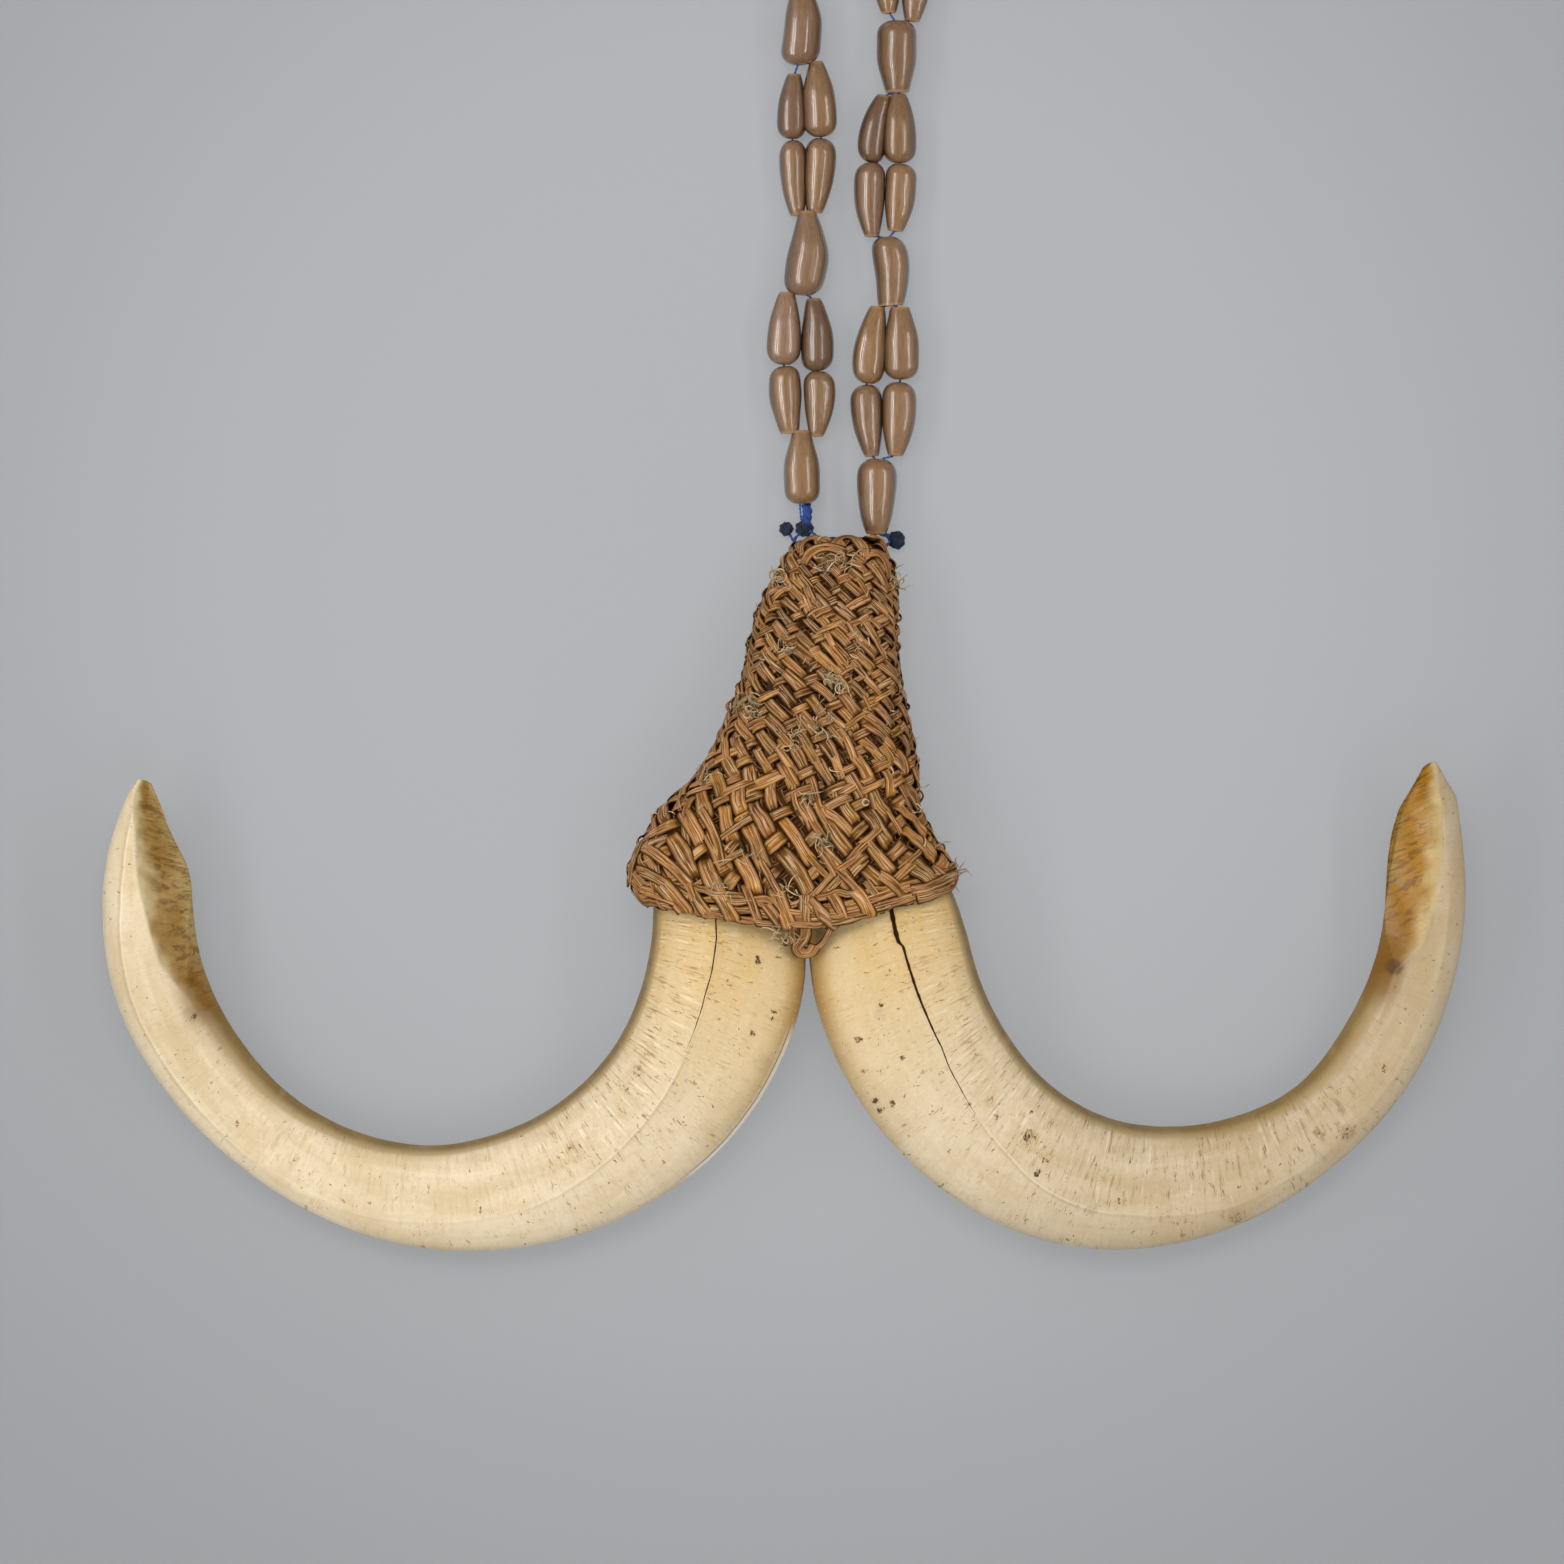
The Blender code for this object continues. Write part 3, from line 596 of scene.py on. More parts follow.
def ivory(tusk_name, stains, heart_to, slope, feather):
    """Tooth: cream with growth lines across it, stains and marks, dirt and painted shade on its inner face,
    a painted highlight along the crease, and painted shade at the outer edge and where light falls off.
    """
    finish, tree, shader = new_material(tusk_name + "_ivory")
    lay = attribute(tree, "lay", "Vector")
    part = {name: attribute(tree, name) for name in TOOTH_VALUES}
    growth, band, gape, front = part["growth"], part["band"], part["gape"], part["front"]

    def cloud(along, across, *settings):
        return noise(tree, stretch(tree, lay, (along, across, 1.0)), *settings)

    mottle = cloud(0.09, 0.2, 1.0, 3.0, 0.55, 0.3)
    bands = cloud(0.5, 0.03, 1.0, 3.0, 0.6, 0.2)
    lines = cloud(1.5, 0.14, 1.0, 4.0, 0.68, 0.5)
    ladder = cloud(2.4, 0.36, 1.0, 3.0, 0.7, 0.4)
    grouped = cloud(0.3, 0.22, 1.3, 3.0, 0.6, 0.6)
    patches = cloud(0.24, 0.34, 1.0, 3.0, 0.6, 0.5)
    lengthwise = cloud(0.045, 0.34, 1.0, 3.0, 0.5, 0.5)
    fine = cloud(1.5, 1.1, 1.0, 4.0, 0.7)
    grit = cloud(1.3, 0.8, 1.0, 4.0, 0.7, 0.5)

    colour = mix(tree, ramp(tree, mottle, 0.34, 0.66), srgb(220, 197, 158), srgb(232, 213, 180))
    pale = times(tree, ramp(tree, band, 0.0, 1.2, 0.0, 0.4), ramp(tree, mottle, 0.3, 0.6, 0.4, 1.0))
    yellow = times(tree, part["root"], ramp(tree, mottle, 0.3, 0.66, 0.55, 0.95))
    # The outer edge near the root darkens: painted shade, over some of the edge's own orange tone.
    shaded = times(tree, part["outer"], ramp(tree, mottle, 0.3, 0.6, 0.6, 0.95))
    colour = cover(
        tree, colour,
        (ramp(tree, bands, 0.46, 0.66, 0.0, 0.26), (208, 182, 138)),
        (ramp(tree, lengthwise, 0.52, 0.68, 0.0, 0.35), (206, 180, 134)),
        (ramp(tree, lengthwise, 0.46, 0.34, 0.0, 0.3), (240, 226, 198)),
        (pale, (230, 214, 184)),
        (yellow, (216, 178, 106)),
        (shaded, (176, 138, 76)),
        (ramp(tree, fine, 0.48, 0.34, 0.0, 0.22), (198, 168, 120)),
        (ramp(tree, fine, 0.56, 0.68, 0.0, 0.22), (248, 238, 214)),
    )

    # Fine growth lines in brown and white, mostly towards the inner edge.
    spread = ramp(tree, band, -3.5, 1.0, 1.0, 0.2)
    shown = times(tree, times(tree, growth, ramp(tree, patches, 0.42, 0.58, 0.15, 1.0)), spread)
    dark_line = times(tree, ramp(tree, lines, 0.54, 0.64), shown)
    rungs = times(tree, ramp(tree, ladder, 0.55, 0.62), ramp(tree, grouped, 0.5, 0.62, 0.1, 0.9))
    rungs = times(tree, rungs, times(tree, growth, ramp(tree, band, 4.0, 8.0, 1.0, 0.3)))
    light_line = times(tree, ramp(tree, lines, 0.44, 0.36, 0.0, 0.6), shown)
    specks = times(tree, ramp(tree, grit, 0.62, 0.66), ramp(tree, grouped, 0.44, 0.56, 0.15, 0.9))
    # A painted highlight line along the crease, with a thin line of painted shade beside it.
    near = maths(tree, "ABSOLUTE", band)
    bright = times(tree, ramp(tree, near, 0.05, 0.22, 0.6, 0.0), part["crisp"])
    brown = times(tree, ramp(tree, gap(tree, band, 0.42), 0.05, 0.3, 0.4, 0.0), part["crisp"])
    colour = cover(
        tree, colour,
        (times(tree, dark_line, 0.7), (160, 116, 58)),
        (times(tree, rungs, 0.9), (152, 106, 46)),
        (light_line, (250, 240, 214)),
        (specks, (132, 92, 46)),
        (bright, (252, 243, 222)),
        (brown, (176, 142, 92)),
    )
    # Painted shade: the tone is dimmed where the light falls off.
    falloff_dimmed = mix(tree, 1.0, colour, (0.70, 0.675, 0.64, 1.0), "MULTIPLY")
    colour = mix(tree, part["falloff_shade"], colour, falloff_dimmed)

    # Grime and painted shade deepen down the inner face, which turns away from the light, and the worn
    # facet is stained from its edge to its rim.
    inner, worn = part["inner"], part["worn"]
    deep_grime_and_shade = times(tree, ramp(tree, inner, 0.35, 0.8), ramp(tree, patches, 0.2, 0.55, 0.6, 0.9))
    grime_and_shade = ramp(tree, inner, 0.16, 0.4, 0.0, 0.65)
    colour = cover(tree, colour, (grime_and_shade, (180, 150, 92)), (deep_grime_and_shade, (132, 106, 58)))
    edge_stain, heart_stain, rim_stain = (srgb(*stain) for stain in stains)
    slanted = put(tree, "ShaderNodeVectorRotate", {"Vector": lay, "Angle": slope}, rotation_type="Z_AXIS")
    streaks = noise(tree, stretch(tree, slanted.outputs[0], feather), 1.0, 6.0, 0.7, 0.6)
    shift = times(tree, minus(tree, cloud(0.22, 0.3, 1.0, 2.0, 0.5), 0.5), 0.7)
    shifted = plus(tree, worn, shift)
    stain = mix(tree, ramp(tree, shifted, 0.0, 0.42), edge_stain, heart_stain)
    stain = mix(tree, ramp(tree, shifted, heart_to, 1.06), stain, rim_stain)
    mottled = times(tree, ramp(tree, streaks, 0.49, 0.60), ramp(tree, worn, 0.9, 0.5, 0.1, 0.85))
    stain = mix(tree, mottled, stain, mix(tree, 1.0, stain, (0.46, 0.38, 0.26, 1.0), "MULTIPLY"))
    stain = mix(tree, ramp(tree, streaks, 0.46, 0.36, 0.0, 0.5), stain, edge_stain)
    colour = mix(tree, part["facet"], colour, stain)
    colour = cover(tree, colour, (part["foot"], (130, 88, 28)))

    # Marks at their places break up into specks, and smudges stay soft.
    place = place_in_mm(tree)
    ragged = times(tree, minus(tree, noise(tree, place, 1.5, 4.0, 0.75), 0.5), 4.2)
    masks = []
    for rows, grown, rough in ((MARKS, 1.2, ragged), (SMUDGES, 1.0, times(tree, ragged, 0.2))):
        most = 0.0
        for x, y, size, dark in rows[tusk_name]:
            inputs = {"Place": place, "Centre": (x, y, 0.0), "Size": size * grown, "Ragged": rough}
            mask = use_group(tree, SPOT, inputs)["Mask"]
            most = maths(tree, "MAXIMUM", times(tree, mask, dark), most)
        masks.append(times(tree, most, front))
    marked, smudged = masks
    broken = noise(tree, stretch(tree, place, (1.0, 0.6, 1.0)), 1.9, 3.0, 0.7, 0.8)
    core = ramp(tree, plus(tree, marked, times(tree, broken, 2.4)), 1.85, 2.0)
    core = times(tree, core, ramp(tree, marked, 0.02, 0.25))

    # The flake on the outer edge is whiter, beyond a thin dark line of painted shade where it steps down,
    # and the crack has a halo.
    chip, share = part["chip"], part["share"]
    flake_step_shade = ramp(tree, gap(tree, share, 0.945), 0.003, 0.010, 0.7, 0.0)
    inside = minus(tree, gape, near)
    halo = times(tree, ramp(tree, inside, -0.35, 0.0, 0.0, 0.6), ramp(tree, gape, 0.12, 0.3))
    cracked = times(tree, ramp(tree, inside, -0.07, 0.0), ramp(tree, gape, 0.01, 0.05))
    colour = cover(
        tree, colour,
        (times(tree, marked, 0.3), (184, 144, 84)),
        (times(tree, core, 0.9), (72, 46, 18)),
        (smudged, (98, 72, 38)),
        (times(tree, chip, ramp(tree, share, 0.95, 0.96)), (246, 240, 226)),
        (times(tree, chip, flake_step_shade), (122, 98, 62)),
        (halo, (214, 160, 62)),
        (cracked, (44, 26, 8)),
    )
    height = minus(tree, plus(tree, times(tree, lines, growth), times(tree, fine, 0.5)), core)
    feed(tree, shader, {
        "Base Color": colour,
        "Roughness": ramp(tree, fine, 0.3, 0.7, 0.36, 0.5),
        "Specular IOR Level": 0.14,
        "Subsurface Weight": 0.08,
        "Subsurface Radius": (1.0, 0.6, 0.35),
        "Subsurface Scale": 0.0008,
        "Normal": bump(tree, height, 0.8, 0.00016),
    })
    return finish


HIGHLIGHT_TINT = (226, 192, 150)


def cane_finish(name, tones, roughness, gloss):
    """Split cane: streaks along each strip, with painted highlights on its crowns and edges, and painted
    shade at its edges and where it dives under.
    """
    finish, tree, shader = new_material(name)
    light, dark, blush, olive = tones
    lay = attribute(tree, "lay", "Vector")
    tone, sunk, edge = (attribute(tree, key) for key in ("tone", "sunk", "edge"))
    grain = use_group(tree, GRAIN, {"Place": lay, "Fineness": 6.0, "Stretch": 0.03})
    patch = noise(tree, stretch(tree, lay, (0.22, 0.5, 0.5)), 1.0, 2.0, 0.5)
    streaks = ramp(tree, grain["Streaks"], 0.38, 0.60)
    # Painted highlight on the crowns of the strips, and along their edges.
    crown_highlight = times(tree, ramp(tree, sunk, 0.16, 0.0), ramp(tree, edge, 0.75, 0.3))
    crown_highlight = times(tree, crown_highlight, ramp(tree, grain["Streaks"], 0.50, 0.62))
    split = ramp(tree, gap(tree, grain["Bands"], 0.5), 0.003, 0.014, 0.9, 0.0)
    shine = times(tree, ramp(tree, edge, 0.35, 0.55), ramp(tree, edge, 0.72, 0.6))
    colour = cover(
        tree, mix(tree, tone, srgb(*dark), srgb(*light)),
        (ramp(tree, patch, 0.50, 0.62, 0.0, 0.8), blush),
        (ramp(tree, patch, 0.46, 0.34, 0.0, 0.75), olive),
        (times(tree, crown_highlight, 0.8), HIGHLIGHT_TINT),
        (ramp(tree, streaks, 0.0, 1.0, 0.5, 0.0), (74, 34, 6)),
        (times(tree, split, ramp(tree, patch, 0.4, 0.6)), (34, 14, 2)),
        (times(tree, shine, 0.3), HIGHLIGHT_TINT),
        # Painted shade along the strips' edges and where they dive under other strips.
        (ramp(tree, edge, 0.74, 0.98, 0.0, 0.95), (26, 8, 1)),
        (ramp(tree, sunk, 0.2, 1.0, 0.0, 0.85), (34, 12, 1)),
    )
    feed(tree, shader, {
        "Base Color": colour,
        "Roughness": ramp(tree, streaks, 0.0, 1.0, roughness + 0.2, roughness),
        "Specular IOR Level": gloss,
        "Specular Tint": (1.0, 0.86, 0.70, 1.0),
        "Normal": bump(tree, grain["Streaks"], 0.8, 0.0003),
    })
    return finish


def seed_finish():
    """Polished seed: brown with fine streaks, mauve on some, amber at its cut end, and painted shade on its
    flanks.
    """
    finish, tree, shader = new_material("polished_seed")
    lay = attribute(tree, "lay", "Vector")
    tone, mauve, flank, tip = (attribute(tree, key) for key in ("tone", "mauve", "flank", "tip"))
    grain = use_group(tree, GRAIN, {"Place": lay, "Fineness": 4.4, "Stretch": 0.05})
    colour = cover(
        tree, mix(tree, tone, srgb(68, 42, 24), srgb(168, 127, 82)),
        (times(tree, mauve, 0.6), (144, 112, 98)),
        (ramp(tree, grain["Streaks"], 0.46, 0.64, 0.0, 0.42), (88, 60, 34)),
        (ramp(tree, grain["Bands"], 0.5, 0.70, 0.0, 0.25), (170, 130, 84)),
        # Painted shade on the flanks, which turn away from the light.
        (ramp(tree, flank, 0.55, 1.0, 0.0, 0.75), (48, 27, 12)),
        (ramp(tree, tip, 0.2, 1.0, 0.0, 0.7), (172, 132, 84)),
    )
    feed(tree, shader, {
        "Base Color": colour,
        "Roughness": ramp(tree, grain["Streaks"], 0.4, 0.6, 0.16, 0.24),
        "Coat Weight": 1.0,
        "Coat Roughness": 0.09,
        "Coat IOR": 1.5,
        "Specular IOR Level": 0.35,
        "Normal": bump(tree, grain["Streaks"], 0.35, 0.00018),
    })
    return finish


def yarn_finish(name, light, dark, bright=None):
    """Twisted yarn: fine fibres wound round each ply; loose ends may have a brighter colour."""
    finish, tree, shader = new_material(name)
    lay = attribute(tree, "lay", "Vector")
    grain = use_group(tree, GRAIN, {"Place": lay, "Fineness": 9.0, "Stretch": 0.3})
    colour = mix(tree, ramp(tree, grain["Streaks"], 0.38, 0.64), dark, light)
    if bright:
        colour = mix(tree, attribute(tree, "tone"), colour, mix(tree, 1.0, bright, colour, "ADD"))
    feed(tree, shader, {
        "Base Color": colour,
        "Roughness": 0.85,
        "Specular IOR Level": 0.15,
        "Sheen Weight": 0.1,
        "Normal": bump(tree, grain["Streaks"], 0.6, 0.0001),
    })
    return finish


def plain_finish(name, colour, second, roughness, scale):
    """A rough surface of two mottled colours."""
    finish, tree, shader = new_material(name)
    cloud = noise(tree, place_in_mm(tree), scale, 4.0, 0.65)
    feed(tree, shader, {
        "Base Color": mix(tree, ramp(tree, cloud, 0.35, 0.65), colour, second),
        "Roughness": roughness,
        "Specular IOR Level": 0.1,
        "Normal": bump(tree, cloud, 0.4, 0.0004),
    })
    return finish


# Camera, lights and floor

VIEW_CENTRE = (-0.4, 17.92)
VIEW_WIDTH = 250.24
LENS, SENSOR = 200.0, 36.0
FOCUS_HEIGHT = 8.5


def make_camera():
    data = bpy.data.cameras.new("camera")
    data.lens, data.sensor_width = LENS, SENSOR
    camera = bpy.data.objects.new("camera", data)
    distance = VIEW_WIDTH * LENS / SENSOR
    camera.location = Vector((*VIEW_CENTRE, FOCUS_HEIGHT + distance)) * MM
    SCENE.collection.objects.link(camera)
    SCENE.camera = camera


# Area lights: place, target, size, watts, whether warm, and whether only glossy things show them.
# The softboxes light, and their reflections on glossy things are lights of their own.
LEFT_BOX, RIGHT_BOX = (-0.62, 0.06, 0.64), (0.62, 0.06, 0.66)
LIGHTS = {
    "softbox_left": (LEFT_BOX, (-0.02, 0.05, 0.0), (2.0, 0.16), 4.6, True, False),
    "softbox_right": (RIGHT_BOX, (0.0, 0.05, 0.0), (2.0, 0.08), 2.8, True, False),
    "gleam_left": (LEFT_BOX, (-0.02, 0.05, 0.0), (0.95, 0.24), 15.0, True, True),
    "gleam_right": (RIGHT_BOX, (0.0, 0.05, 0.0), (0.80, 0.12), 6.5, True, True),
    "overhead": ((-0.10, 0.45, 1.25), (0.0, 0.0, 0.0), (0.8, 0.4), 5.8, False, False),
    "foot_fill": ((0.05, -0.80, 1.00), (0.0, 0.0, 0.0), (0.9, 0.4), 2.7, False, False),
}
WARM, WHITE = (1.0, 0.98, 0.95), (1.0, 1.0, 1.0)


def make_light():
    SCENE.view_settings.view_transform = "Standard"
    world = bpy.data.worlds.new("studio")
    world.use_nodes = True
    background = world.node_tree.nodes["Background"]
    feed(world.node_tree, background, {"Color": (0.94, 0.97, 1.0, 1.0), "Strength": 0.32})
    SCENE.world = world
    for name, (place, target, size, watts, warm, gleam) in LIGHTS.items():
        data = bpy.data.lights.new(name, "AREA")
        data.shape = "RECTANGLE"
        data.size, data.size_y = size
        data.energy = watts
        data.color = WARM if warm else WHITE
        light = bpy.data.objects.new(name, data)
        light.location = place
        light.rotation_euler = (Vector(target) - Vector(place)).to_track_quat("-Z", "Y").to_euler()
        light.visible_glossy, light.visible_diffuse = gleam, not gleam
        SCENE.collection.objects.link(light)


FLOOR_MIDDLE = (0.0, 0.053, 0.0)
FLOOR_LIGHT_POOL = (0.06, 0.205)
FLOOR_PAPER = (0.168, 0.173, 0.180, 1.0)
FLOOR_GLOW = (0.262, 0.269, 0.279, 1.0)


def make_floor():
    """Grey paper that glows a little, so that shadows on it stay faint, and is darker away from its middle:
    a painted pool of light.
    """
    finish, tree, shader = new_material("floor_paper")
    place = put(tree, "ShaderNodeTexCoord", {}).outputs["Object"]
    away = put(tree, "ShaderNodeVectorMath", {0: place, 1: FLOOR_MIDDLE}, operation="DISTANCE")
    # Painted pool of light: darker away from the middle.
    light_pool = ramp(tree, away.outputs["Value"], *FLOOR_LIGHT_POOL, 1.0, 0.76)
    tone = put(tree, "ShaderNodeCombineColor", {"Red": light_pool, "Green": light_pool, "Blue": light_pool}).outputs[0]
    feed(tree, shader, {
        "Base Color": mix(tree, 1.0, tone, FLOOR_PAPER, "MULTIPLY"),
        "Emission Color": mix(tree, 1.0, tone, FLOOR_GLOW, "MULTIPLY"),
        "Emission Strength": 1.0,
        "Roughness": 0.95,
        "Specular IOR Level": 0.1,
    })
    bpy.ops.mesh.primitive_plane_add(size=6.0)
    floor = bpy.context.object
    floor.name = "floor"
    floor.data.materials.append(finish)


# Threads

def thread_route(name, seeds):
    """The route of a thread: from its start, through its seeds' bores, to the loop's knot."""
    place = name.rsplit("_", 1)[1]
    leftward = name in ("thread_left_outer", "thread_right_inner")
    aside = Vector((-THREAD_PITCH / 2 if leftward else THREAD_PITCH / 2, 0.0, 0.0))
    points = [Vector(point) for point in THREAD_STARTS[name]]
    samples = [START_STEPS] * len(points)
    for kind, narrow, wide, width, *_ in seeds:
        if kind not in ("single", place):
            continue
        ends = [Vector((*narrow, width / 2)), Vector((*wide, width / 2))]
        low, high = sorted(ends, key=lambda end: end.y)
        if kind == "single":
            low, high = low + aside, high + aside
        points += [low.lerp(high, BORE_INSET), low.lerp(high, 1 - BORE_INSET)]
        samples += [BORE_STEPS, BETWEEN_STEPS]
    tail = [Vector(point) for point in THREAD_ENDS[name]]
    samples = samples[:-1] + [END_STEPS] * len(tail)
    return points + tail, samples


YARN_STEP = 0.22
YARN_TWIST = 1.3
PLY_SIDES = 6


def make_thread(name, seeds, finish):
    """Two plies twisted round the route of part.py's thread."""
    route, samples = thread_route(name, seeds)
    line = np.array([tuple(point) for point in smooth_path(route, samples)])
    lengths = arc_lengths(line)
    places = np.arange(0.0, lengths[-1], YARN_STEP)
    middle = points_at(line, lengths, places)
    side, up = frames_along(middle)
    bundle = Bundle()
    for ply in range(2):
        turn = places * math.tau / YARN_TWIST + ply * math.pi
        offset = side * np.cos(turn)[:, None] + up * np.sin(turn)[:, None]
        path = middle + offset * THREAD / 4
        rings = sweep(path, round_section(PLY_SIDES), THREAD / 4, THREAD / 4)
        bundle.add(rings, lay=lay_along(path, PLY_SIDES, np.arange(PLY_SIDES) * THREAD / 8))
    piece = bundle.make(name + "_yarn", finish)
    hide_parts(name)
    return piece, line * MM


# Tusks

RINGS = 460
OUTER_POINTS, INNER_POINTS, BACK_POINTS = 36, 64, 34
CROWD = (1.2, 0.9, 0.68, 0.5, 0.36, 0.24, 0.14, 0.06, 0.0, -0.06, -0.14, -0.24, -0.36, -0.5, -0.7, -1.0)
TIP_ROUND = 2.1
SHOULDER_ROUND = 0.08
# A thin flake stands off the left tusk's outer edge between these turns.
FLAKE_TURNS = (19.0, 50.0)


def dome(s, power=SECTION_POWER):
    return np.maximum(0.0, 1.0 - np.abs(s)**power)**(1.0 / power)


def lower_of(first, second, blend):
    """The lower of two heights, rounded where they cross."""
    h = np.clip(0.5 + 0.5 * (second - first) / blend, 0.0, 1.0)
    return second + (first - second) * h - blend * h * (1 - h)


def front_height(s, inner_face, facet, ridge_at):
    """Height of a tusk's front over its middle, for s from -1 (inner edge) to 1 (outer)."""
    height = dome(s) * (1 + CREASE_RISE * np.exp(-((s - ridge_at) / CREASE_SPREAD)**2))
    shoulder = 2 * inner_face - 1
    inner = dome(shoulder) * np.clip((s + 1) / (shoulder + 1), 0.0, None)**INNER_FACE_CURVE
    height = np.where(s < shoulder + 0.5, lower_of(height, inner, SHOULDER_ROUND), height)
    height = np.maximum(height, 0.0)
    worn_to = 2 * facet - 1
    cut = dome(worn_to) - FACET_SLOPE * (worn_to - s)
    height = np.where(s < worn_to, np.minimum(height, cut), height)
    return np.maximum(height, FACET_FLOOR * dome(s))


def front_samples(ridge_at, half_width):
    """Places across a tusk's front, outer edge first, crowded round its crease."""
    room = min(1.0, 0.9 * (1 - ridge_at) * half_width / CROWD[0])
    crowd = ridge_at + np.array(CROWD) * room / half_width
    first, last = crowd[0], crowd[-1]
    outer = first + (1 - first) * np.sin(np.linspace(math.pi / 2, 0.0, OUTER_POINTS, endpoint=False))
    inner = last - (last + 1) * np.sin(np.linspace(0.0, math.pi / 2, INNER_POINTS + 1)[1:])
    return np.concatenate((outer, crowd, inner))


def tip_width(width, to_tip):
    """The width of a ring this far from the tip, which ends round."""
    full, share = 2.2 * TIP_ROUND, to_tip / TIP_ROUND
    if share >= 1.6:
        return width
    if share >= 1.0:
        return max(width, full)
    return min(max(width, full * share), full * math.sqrt(max(0.0, 1 - (1 - share)**2)) + 0.05)


def make_tusk(name, finish):
    tusk = TUSKS[name]
    dice = random.Random(name)
    spread = np.linspace(0.0, 1.0, RINGS)
    # Rings stand closer together towards the tip.
    turns = tusk["root_turn"] + (tusk["tip_turn"] - tusk["root_turn"]) * (1.09 * spread - 0.09 * spread**8)
    wander = ripple(turns, 27.0, dice, 3) * 0.10 + ripple(turns, 5.0, dice, 3) * 0.015
    swell = ripple(turns, 9.0, dice, 5) * 0.05 + ripple(turns, 1.6, dice, 3) * 0.010
    jag = ripple(turns, 3.0, dice, 3)
    back_s = -np.cos(np.linspace(0.0, math.pi, BACK_POINTS + 2)[1:-1])
    on_back = np.zeros(len(back_s))
    rings, lays, values = [], [], {key: [] for key in TOOTH_VALUES}
    for turn, aside, bulge, tooth in zip(turns, wander, swell, jag):
        radius, width, lift = smooth_row(tusk["stations"], turn)
        width = tip_width(width, math.radians(tusk["tip_turn"] - turn) * radius)
        thick, inner_face = straight(TUSK_FORM, turn, 1), straight(TUSK_FORM, turn, 2)
        half_width, half_thick = width / 2, width * thick / 2
        ridge_at = 2 * straight(CREASES[name], turn) - 1 + aside / half_width
        facet = straight(FACETS[name], turn)
        gape = straight(CRACKS[name], turn) * (1 + 0.25 * tooth)
        crisp = straight(CRISPNESS[name], turn)
        if name == "tusk_right":
            # The crack steps aside where its wide part ends.
            ridge_at += 0.45 * rise(turn, 12.6, 13.1) * (1 - rise(turn, 13.1, 26.0)) / -half_width
        s = front_samples(ridge_at, half_width)
        height = half_thick * front_height(s, inner_face, facet, ridge_at)
        band = (s - ridge_at) * half_width
        calm = rise(width, 3.0, 9.0)
        height += calm * (bulge * dome(s) * 1.2)
        # A fine raised lip along the crease, a shallow dip beside it, and a groove where it gapes.
        lip = 0.11 * np.exp(-(band / 0.24)**2) - 0.09 * np.exp(-((band - 0.6) / 0.4)**2)
        groove = -(gape * 1.7) * np.exp(-(band / max(gape * 0.9, 0.05))**2) if gape > 0.01 else 0.0
        height += calm * (lip * max(crisp, 0.12) + groove)
        # The worn facet has a rim and is slightly hollow.
        into = (2 * facet - 1 - s) * half_width
        if facet > 0.05:
            height += 0.12 * np.exp(-(into / 0.28)**2) * calm
            height -= 0.25 * rise(into, 0.3, 2.2) * calm * (1 + 0.5 * np.sin(s * 7 + turn / 3))
        flake = 0.0
        if name == "tusk_left":
            start, end = FLAKE_TURNS
            flake = rise(turn, start, start + 4) * (1 - rise(turn, end - 6, end))
            height -= flake * 0.5 * rise(s, 0.94 + 0.006 * tooth, 0.955 + 0.006 * tooth)
        middle = lift + BACK_DEPTH * half_thick
        z = np.concatenate((middle + height, middle - BACK_DEPTH * half_thick * dome(back_s)))
        all_s = np.concatenate((s, back_s))
        reach = radius + all_s * half_width + 0.4 * bulge * calm
        along = math.radians(turn)
        rings.append(np.stack((tusk["centre"][0] + tusk["side"] * math.cos(along) * reach,
                               tusk["centre"][1] - math.sin(along) * reach, z), axis=1))
        count = len(all_s)
        around = np.concatenate((s * half_width, -30.0 - back_s * half_width))
        lays.append(np.stack((np.full(count, along * radius), around, np.zeros(count)), axis=1))
        on_front = np.concatenate((np.ones(len(s)), on_back))
        face_edge = 2 * inner_face - 1 + 0.06
        shade = np.clip((face_edge - all_s) / (face_edge + 1), 0.0, 1.0) * rise(width, 2.0, 6.0)
        # Where the outer edge near the root darkens: painted shade, with some of the edge's own orange
        # tone.
        stained = rise(all_s, 0.72, 1.0) * (1 - rise(turn, 10.0, 60.0))
        row = {
            "inner": np.where(on_front > 0, shade, np.clip(-all_s, 0.0, 1.0) * 0.8),
            "facet": on_front * rise(np.concatenate((into, on_back)), 0.1, 0.45) * rise(facet, 0.08, 0.25),
            "worn": np.clip((all_s + 1) / max(2 * facet, 0.05), 0.0, 1.0),
            "root": 1 - rise(turn, 2.0, 50.0),
            "band": np.where(on_front > 0, np.concatenate((band, on_back)), 9.0),
            "gape": gape,
            "front": on_front,
            "falloff_shade": straight(LIGHT_FALLOFF_SHADE[name], turn),
            "growth": straight(GROWTH[name], turn),
            "outer": stained * (1 - flake * rise(all_s, 0.9, 0.92)),
            "crisp": crisp,
            "foot": on_front * straight(FACET_FEET[name], turn) * (1 - rise(all_s, -0.6, 0.0)),
            "chip": flake,
            "share": all_s,
        }
        for key in TOOTH_VALUES:
            values[key].append(np.broadcast_to(row[key], count))
    bundle = Bundle()
    values = {key: np.array(rows) for key, rows in values.items()}
    bundle.add(np.array(rings), lay=np.array(lays), **values)
    piece = bundle.make(name + "_tooth", finish)
    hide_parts(name)


